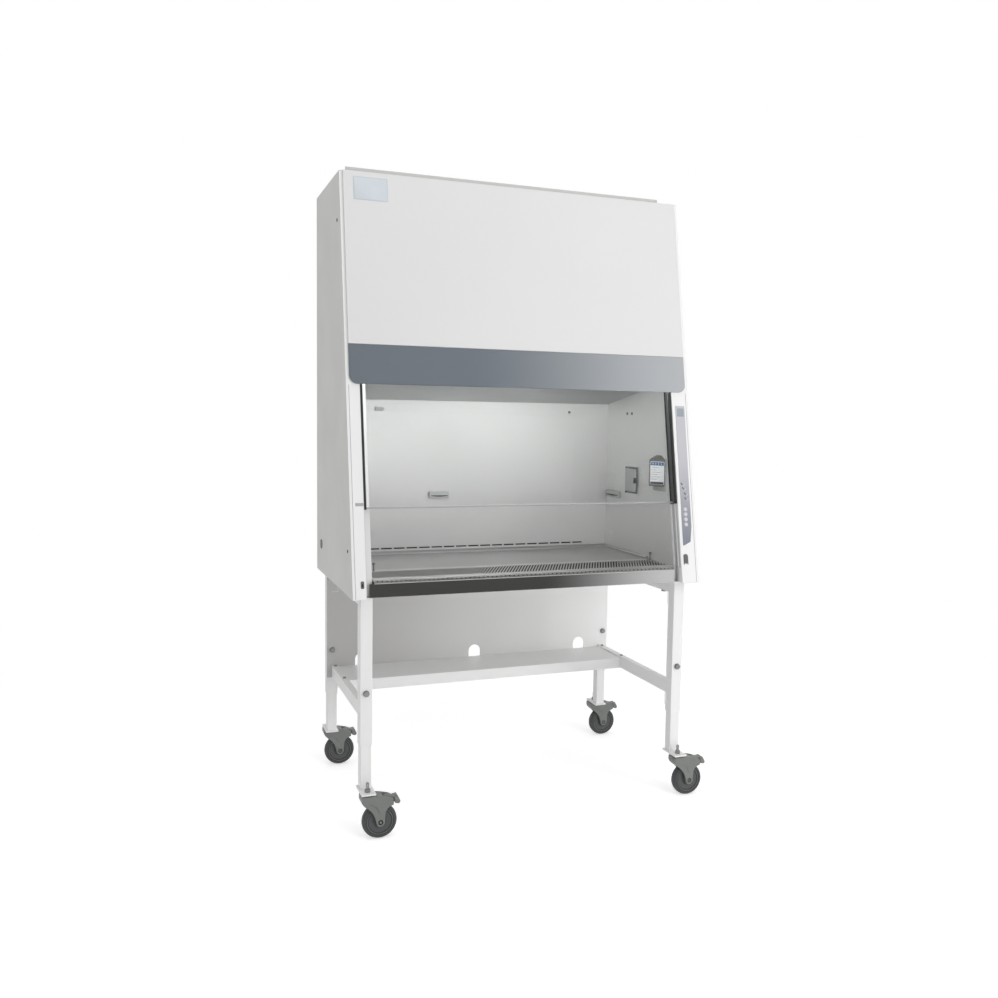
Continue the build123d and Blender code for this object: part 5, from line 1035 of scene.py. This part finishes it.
@dataclass
class ChamberFittings:
    """What is fixed on the chamber's walls: ports, display, outlet, sensor, plugs, grille holes, and black sheets
    of painted shade below the grille and behind the slots.
    """

    wall_x: float = 609.6
    back_y: float = 665.0

    def port(self, name: str, spot: Matrix, width: float) -> None:
        """Model a cord port: a rounded frame with a dark curved flap line, a black patch of painted shade.

        Args:
            name: The piece's name.
            spot: Its frame on the wall.
            width: Its width in millimetres.
        """
        frame_piece = patch(f"{name}_frame", spot, rounded(width, 30, 6), 11.5, 3.0)
        fit(frame_piece, "cabinet", "fitting", ())
        half = width * 0.42
        lens = [(-half + 2 * half * i / 12, -4.5 - 3.2 * sin(pi * i / 12)) for i in range(13)]
        lens += [(half - 2 * half * i / 12, -1.8 + 0.4 * sin(pi * i / 12)) for i in range(13)]
        # Painted shade: the flap line is a black patch.
        flap = patch(f"{name}_flap", spot, lens, 12.0, 0.15)
        fit(flap, "cabinet", "shadow")

    def ports(self) -> None:
        """Place both ports."""
        back = wall_matrix(SITE.at(-186.5, self.back_y, 1173), Vector((0, -1, 0)))
        side = wall_matrix(SITE.at(self.wall_x, 588, 1173), Vector((-1, 0, 0)))
        self.port("back_port", back, 89)
        self.port("side_port", side, 130)

    def small_fittings(self) -> None:
        """Turn the plugs, the sensor and the service plugs and screws outside."""
        pieces = []
        for x, y, radius in ((self.wall_x, 441, 6.5), (self.wall_x, 482, 6.5)):
            pieces.append(disc("wall_plug", SITE.at(x, y, 1530), Vector((-1, 0, 0)), radius, 3.0, 1.0))
        pieces.append(disc("back_plug", SITE.at(415, self.back_y, 1533), Vector((0, -1, 0)), 5.5, 6.0, 1.0))
        fit(join("chamber_wall_plugs", pieces), "cabinet", "dark_plastic", ("chamber_fittings",))
        tag = wall_matrix(SITE.at(-445, self.back_y, 1533), Vector((0, -1, 0)))
        sensor = patch("air_sensor", tag, [(-20, -9), (13, -9), (21, 0), (13, 9), (-20, 9)], 6.5, 1.2)
        fit(sensor, "cabinet", "fitting")
        cap = disc("wall_cap", SITE.at(self.wall_x, 615, 976.4), Vector((-1, 0, 0)), 25, 1.4, 0.6, 48)
        fit(cap, "cabinet", "steel_z")
        plugs = []
        for sign in (-1, 1):
            out = Vector((sign, 0, 0))
            plugs.append(disc("side_plug", SITE.at(sign * 689.5, 637, 981.4), out, 19, 2.4, 0.9, 40))
        fit(join("side_service_plugs", plugs), "cabinet", "dark_plastic")
        screws = []
        for sign in (-1, 1):
            for y, z in ((92, 1025.4), (297, 2207.4)):
                screws.append(lathe("side_screw", (
                    (0, 0.01), (0, 6.6), (1.3, 5.8), (2.0, 3.2), (1.2, 2.8), (0.8, 0.01)),
                    SITE.at(sign * 689.5, y, z), Vector((sign, 0, 0)), 20))
        fit(join("side_screws", screws), "cabinet", "iron")

    def display(self) -> None:
        """Model the display: a rounded wedge housing, a lit screen with plain bars and its bracket."""
        front, tip = Vector((609.6, 143.0)), Vector((570.0, 212.0))
        along = (tip - front).normalized()
        out = Vector((-along.y, along.x, 0))
        if out.y > 0:
            out = -out
        middle = (front + tip) / 2
        spot = wall_matrix(SITE.at(middle.x, middle.y, 1289.5), out)
        corners = [SITE.at(x, y, 1235) for x, y in ((609.6, 143), (570, 212), (609.6, 249))]
        body = slab("display_wedge", corners, Vector((0, 0, 0.109)), 0.004, 4)
        cap = self.roof_cap()
        housing = join("display_housing", [body, cap])
        fit(housing, "cabinet", "display", ("display_unit",))
        glass = patch("display_glass", spot, rounded(64, 92, 3), 0.8, 0.2)
        fit(glass, "cabinet", "screen")
        head = patch("display_head_bar", spot @ Matrix.Translation((0, 0.037, 0)), rounded(60, 13, 1), 1.0)
        fit(head, "cabinet", "screen_blue")
        foot = patch("display_foot_bar", spot @ Matrix.Translation((0, -0.0405, 0)), rounded(60, 9, 1), 1.0)
        fit(foot, "cabinet", "screen_dark")
        dots = [
            patch("dot", spot @ Matrix.Translation((0.001 * x, 0.037, 0)), rounded(5, 5, 2.4, 3), 1.15)
            for x in (-20, -7, 6, 19)
        ]
        fit(join("display_dots", dots), "cabinet", "screen")
        rows = []
        for index in range(6):
            width = (34, 22, 40, 30, 38, 26)[index]
            place = spot @ Matrix.Translation((0.001 * (width / 2 - 26), 0.022 - 0.0095 * index, 0))
            rows.append(patch("row", place, rounded(width, 1.6, 0.5, 2), 0.9))
        fit(join("display_rows", rows), "cabinet", "screen_grey")
        plate = wall_matrix(SITE.at(self.wall_x, 189, 1282.5), Vector((-1, 0, 0)))
        bracket = patch("display_bracket", plate, rounded(103, 134, 8), 2.0, 0.5)
        fit(bracket, "cabinet", "fitting")

    def roof_cap(self) -> Piece:
        """Raise the display's sloping roof from its outline to a ridge at the wall."""
        base = [SITE.at(x, y, 1343.5) for x, y in ((609.6, 144.5), (571, 212), (609.6, 247.5))]
        cap = slab("roof", base, Vector((0, 0, 0.0175)))
        ridge = SITE.at(609.6, 205, 1361)
        for vertex in cap.data.vertices:
            if vertex.co.z > base[0].z + 0.001:
                pull = 0.78 if vertex.co.x < ridge.x - 0.02 else 0.6
                flat = vertex.co.lerp(Vector((ridge.x, ridge.y, vertex.co.z)), pull)
                vertex.co = flat
        soften(cap, 0.0015, 2)
        return settle(cap)

    def outlet(self) -> None:
        """Model the outlet's base with its dark gasket, and the hinged cover with its latch."""
        base = wall_matrix(SITE.at(self.wall_x, 417, 1245), Vector((-1, 0, 0)))
        gasket = patch("outlet_gasket", base, rounded(81.5, 113.5, 3), 5.9, 0.6)
        ears = []
        for z in (1188.0, 1294.0):
            ears.append(block("ear", (599.6, 458.5, z), (603.7, 465.2, z + 8), 0.8))
            ears.append(disc("knuckle", SITE.at(599.8, 461.8, z), Vector((0, 0, 1)), 3.5, 8.0, 0.5, 24))
        pin = disc("pin", SITE.at(599.8, 461.8, 1188.5), Vector((0, 0, 1)), 1.5, 113.0, 0.2, 16)
        fit(join("outlet_base", [gasket, *ears, pin]), "cabinet", "dark_plastic", ("outlet_box",))
        face = wall_matrix(SITE.at(603.2, 417.5, 1245), Vector((-1, 0, 0)))
        lid = patch("lid", face, rounded(78.5, 97, 2), 7.8, 1.4)
        field_plate = patch("field", face, rounded(66, 84, 2), 8.2, 0.4)
        hem = block("hem", (596.4, 455.5, 1196.6), (599.8, 461.0, 1293.4), 0.6)
        barrel = disc("barrel", SITE.at(599.8, 461.8, 1196.6), Vector((0, 0, 1)), 3.4, 96.8, 0.4, 24)
        cover = join("outlet_cover_lid", [lid, field_plate, hem, barrel])
        fit(cover, "outlet_cover", "fitting", ("outlet_cover",))
        latch = block("outlet_latch", (592.4, 375.2, 1233.5), (603.0, 383.0, 1256.5), 1.0)
        fit(latch, "outlet_cover", "rubber")

    def grille_holes(self) -> None:
        """Mark the row of small round holes along the grille's nose with thin black discs of painted shade."""
        holes = []
        tilt = Matrix.Rotation(radians(19.5), 4, "X")
        place = Matrix.Translation(SITE.at(-594, 43, 920.7)) @ tilt
        first = patch("grille_hole", place, rounded(6.4, 6.4, 3.1, 2), 0.3)
        for index in range(1, 70):
            holes.append(copy_to(first, "hole", Vector((0.0172 * index, 0, 0))))
        fit(join("grille_nose_holes", [first, *holes]), "front_grille", "shadow")

    def shade_sheets(self) -> None:
        """Lay matt black sheets of painted shade, which show through the grille's slits and the wall's slots."""
        low = block("grille_painted_shade_sheet", (-605, 84, 916.0), (605, 240, 917.0), 0.2)
        fit(low, "cabinet", "shadow")
        high = block("slot_painted_shade_sheet", (-500, 668.5, 942.0), (500, 669.5, 956.0), 0.2)
        fit(high, "cabinet", "shadow")

    def build(self) -> None:
        """Make every fitting."""
        self.shade_sheets()
        self.ports()
        self.small_fittings()
        self.display()
        self.outlet()
        self.grille_holes()


@dataclass
class Rear:
    """The rear of the cabinet and the stand: panel screws, a gland ring and weld beads."""

    panel_y: float = 743.0
    rail_x: float = 621.4
    rail_heights: tuple[float, float] = (816.4, 405.0)

    def screws(self) -> None:
        """Fix a row of pan-head screws round the rear panel's edge."""
        profile = ((0.0, 0.01), (0.0, 4.6), (1.2, 4.3), (2.1, 3.0), (2.3, 1.6), (1.3, 1.5), (1.2, 0.01))
        back = Vector((0, 1, 0))
        first = lathe("rear_screw", profile, SITE.at(-660, self.panel_y, 900), back, 20)
        places = [(x, z) for x in (-660, -220, 220, 660) for z in (900, 2345)]
        places += [(x, z) for x in (-660, 660) for z in (1260, 1620, 1985)]
        copies = [copy_to(first, "screw", SITE.at(x, 0, z) - SITE.at(-660, 0, 900)) for x, z in places[1:]]
        fit(join("rear_panel_screws", [first, *copies]), "cabinet", "zinc")

    def gland(self) -> None:
        """Turn the cord gland's ribbed clamping nut over the plain cone."""
        place = SITE.at(560, self.panel_y + 7.2, 2246.4)
        ribs = []
        for index in range(12):
            turn = Matrix.Rotation(2 * pi * index / 12, 4, "Y")
            rib = block("rib", (-1.2, 0, 11.0), (1.2, 8.0, 12.4), 0.4)
            for vertex in rib.data.vertices:
                flat = vertex.co - SITE.at(0, 0, 0)
                vertex.co = place + turn @ flat
            ribs.append(settle(rib))
        profile = ((0, 9.0), (0, 11.8), (8, 11.8), (9, 10.8), (9, 9.0))
        ring = lathe("gland_ring", profile, place, Vector((0, 1, 0)), 40)
        fit(join("inlet_clamp_nut", [ring, *ribs]), "cabinet", "dark_plastic")

    def welds(self) -> None:
        """Lay weld beads where the stand's rails meet its legs."""
        beads = []
        for sign in (-1, 1):
            x = sign * self.rail_x
            for y, side in ((95.0, 1), (717.0, -1)):
                for z in self.rail_heights:
                    near, far = sorted((y, y + side * 2.2))
                    low = block("bead", (x - 13.2, near, z - 50), (x + 13.2, far, z - 48.4), 0.7)
                    inner = x - sign * 12.5
                    left, right = sorted((inner, inner - sign * 1.6))
                    upright = block("bead", (left, near, z - 50), (right, far, z), 0.7)
                    beads += [low, upright]
        fit(join("stand_weld_beads", beads), "cabinet", "stand")

    def build(self) -> None:
        """Make every piece."""
        self.screws()
        self.gland()
        self.welds()


@dataclass
class Studio:
    """The floor, the light and the camera."""

    eye: tuple[float, float, float] = (-1332.8, -3167.7, 1495.8)
    yaw: float = 20.34
    pitch: float = -4.83
    roll: float = 0.85
    lens: float = 33.88
    floor_size: float = 60.0

    def camera(self) -> None:
        """Stand the camera at its viewing angle."""
        yaw, pitch, roll = (radians(v) for v in (self.yaw, self.pitch, self.roll))
        ahead = Vector((sin(yaw) * cos(pitch), cos(yaw) * cos(pitch), sin(pitch)))
        right = Vector((cos(yaw), -sin(yaw), 0))
        up = right.cross(ahead)
        right, up = cos(roll) * right + sin(roll) * up, cos(roll) * up - sin(roll) * right
        data = bpy.data.cameras.new("viewpoint")
        data.lens, data.sensor_width, data.sensor_fit = self.lens, 36.0, "HORIZONTAL"
        data.clip_start, data.clip_end = 0.1, 100.0
        camera = bpy.data.objects.new("viewpoint", data)
        bpy.context.scene.collection.objects.link(camera)
        turn = Matrix((right, up, -ahead)).transposed().to_4x4()
        camera.matrix_world = Matrix.Translation(SITE.at(*self.eye)) @ turn
        bpy.context.scene.camera = camera

    def floor(self) -> None:
        """Lay a pale floor that keeps the object's shadow."""
        bpy.ops.mesh.primitive_plane_add(size=self.floor_size, location=(0, 0, 0))
        floor = bpy.context.object
        floor.name = "floor"
        shader = Shader("floor_paint")
        shader.put(Base_Color=(0.93, 0.93, 0.93, 1), Roughness=0.9, Specular_IOR_Level=0.1)
        path = shader.nodes.new("ShaderNodeLightPath")
        seen = shader.math("MAXIMUM", path.outputs["Is Camera Ray"], path.outputs["Is Glossy Ray"])
        seen = shader.math("MAXIMUM", seen, path.outputs["Is Transmission Ray"])
        shader.put(Emission_Color=(1, 1, 1, 1))
        shader.link(shader.math("MULTIPLY", seen, 0.48), "Emission Strength")
        length = shader.nodes.new("ShaderNodeVectorMath")
        length.operation = "LENGTH"
        shader.links.new(shader.coords, length.inputs[0])
        white = shader.nodes.new("ShaderNodeEmission")
        mixer = shader.nodes.new("ShaderNodeMixShader")
        far = shader.span(length.outputs["Value"], 0.0, 1.0, 1.5, 3.2)
        shader.links.new(shader.math("MULTIPLY", far, seen), mixer.inputs["Fac"])
        shader.links.new(shader.main.outputs["BSDF"], mixer.inputs[1])
        shader.links.new(white.outputs["Emission"], mixer.inputs[2])
        shader.links.new(mixer.outputs["Shader"], shader.nodes["Material Output"].inputs["Surface"])
        floor.data.materials.append(shader.material)

    def sky(self) -> None:
        """Light all round softly, and show plain white behind."""
        world = bpy.data.worlds.new("studio")
        bpy.context.scene.world = world
        world.use_nodes = True
        nodes, links = world.node_tree.nodes, world.node_tree.links
        soft = nodes["Background"]
        soft.inputs["Color"].default_value = (1.0, 1.0, 1.0, 1)
        soft.inputs["Strength"].default_value = 0.45
        white = nodes.new("ShaderNodeBackground")
        white.inputs["Color"].default_value = (1, 1, 1, 1)
        path = nodes.new("ShaderNodeLightPath")
        lens = nodes.new("ShaderNodeMath")
        either = nodes.new("ShaderNodeMath")
        lens.operation = either.operation = "MAXIMUM"
        links.new(path.outputs["Is Camera Ray"], lens.inputs[0])
        links.new(path.outputs["Is Transmission Ray"], lens.inputs[1])
        links.new(lens.outputs["Value"], either.inputs[0])
        links.new(path.outputs["Is Glossy Ray"], either.inputs[1])
        mixer = nodes.new("ShaderNodeMixShader")
        links.new(either.outputs["Value"], mixer.inputs["Fac"])
        links.new(soft.outputs["Background"], mixer.inputs[1])
        links.new(white.outputs["Background"], mixer.inputs[2])
        links.new(mixer.outputs["Shader"], nodes["World Output"].inputs["Surface"])

    def softbox(
        self, name: str, place: Point, aim: Point, size: tuple[float, float], power: float, glint: bool
    ) -> None:
        """Hang one soft lamp.

        Args:
            name: Its name.
            place: Where it hangs, in metres.
            aim: The point it faces.
            size: Its width and height.
            power: Its power in watts.
            glint: Whether it shows in shiny surfaces.
        """
        data = bpy.data.lights.new(name, "AREA")
        data.shape, data.size, data.size_y, data.energy = "RECTANGLE", size[0], size[1], power
        lamp = bpy.data.objects.new(name, data)
        bpy.context.scene.collection.objects.link(lamp)
        lamp.visible_glossy = glint
        ahead = Vector(aim) - Vector(place)
        turn = ahead.to_track_quat("-Z", "Y").to_matrix().to_4x4()
        lamp.matrix_world = Matrix.Translation(Vector(place)) @ turn

    def build(self) -> None:
        """Set the studio up."""
        self.camera()
        self.floor()
        self.sky()
        self.softbox("key", (1.6, -4.6, 3.6), (0, 0, 1.3), (3.2, 2.6), 60, False)
        self.softbox("low", (3.0, -3.9, 0.75), (0.3, 0.3, 0.6), (1.6, 1.2), 48, False)
        self.softbox("fill", (-4.2, -2.0, 2.4), (0, 0, 1.2), (3.0, 3.0), 10, False)
        self.softbox("overhead", (0, -0.4, 5.0), (0, 0, 1.0), (4.0, 3.0), 50, True)
        bpy.context.scene.view_settings.view_transform = "Standard"
        LOG.info("studio ready")


def dress_nodes() -> None:
    """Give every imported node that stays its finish."""
    corners = ("front_left", "front_right", "rear_left", "rear_right")
    dress("panel", "side_panel_left", "side_panel_right", "rear_panel", "top_panel")
    dress("post", "pillar_left", "pillar_right")
    dress("header", "header_panel")
    dress("band", "header_band")
    dress("stand", "side_frames", "stand_shelf", "inner_legs")
    dress("stand_panel", "stand_back_panel")
    dress("steel_x", "liner_back")
    dress("steel_well", "base_pan")
    dress("steel_floor", "work_surface")
    dress("steel_nose", "front_grille")
    dress("steel_z", "liner_left", "liner_right")
    dress("trim", "front_trim")
    dress("diffuser", "supply_diffuser")
    dress("zinc", "plenum_box", "blower_housing", "shaft_bearings", "sync_shaft", "stand_bolts")
    dress("zinc", "caster_stems", "exhaust_guard")
    dress("paper", "hepa_filters")
    dress("iron", "counterweights")
    dress("fitting", "outlet_box", "outlet_cover", "chamber_fittings")
    dress("fitting", "power_inlet", "blower_motor", "blower_wheel")
    dress("lamp", "lamp")
    dress("track", "guide_tracks", "sash_frame")
    dress("rubber", "sash_wipers")
    dress("glass", "sash_glass")
    dress("overlay", "console_overlay")
    dress("button", *(f"button_{i}" for i in range(1, 5)))
    dress("display", "display_unit")
    dress("brass", "drain_valve")
    dress("zinc", "drain_handle")
    dress("caster", *(f"caster_{c}" for c in corners), *(f"pedal_{c}" for c in corners))
    dress("wheel", *(f"wheel_{c}" for c in corners))


def main() -> None:
    """Build the scene in order."""
    logging.basicConfig(level=logging.INFO, format="%(message)s")
    FINISH.update(finishes())
    Studio().build()
    dress_nodes()
    for part in (Casters(), FrontPanels(), Console(), Sash(), Grille(), ChamberFittings(), Rear()):
        part.build()


if __name__ == "__main__":
    main()
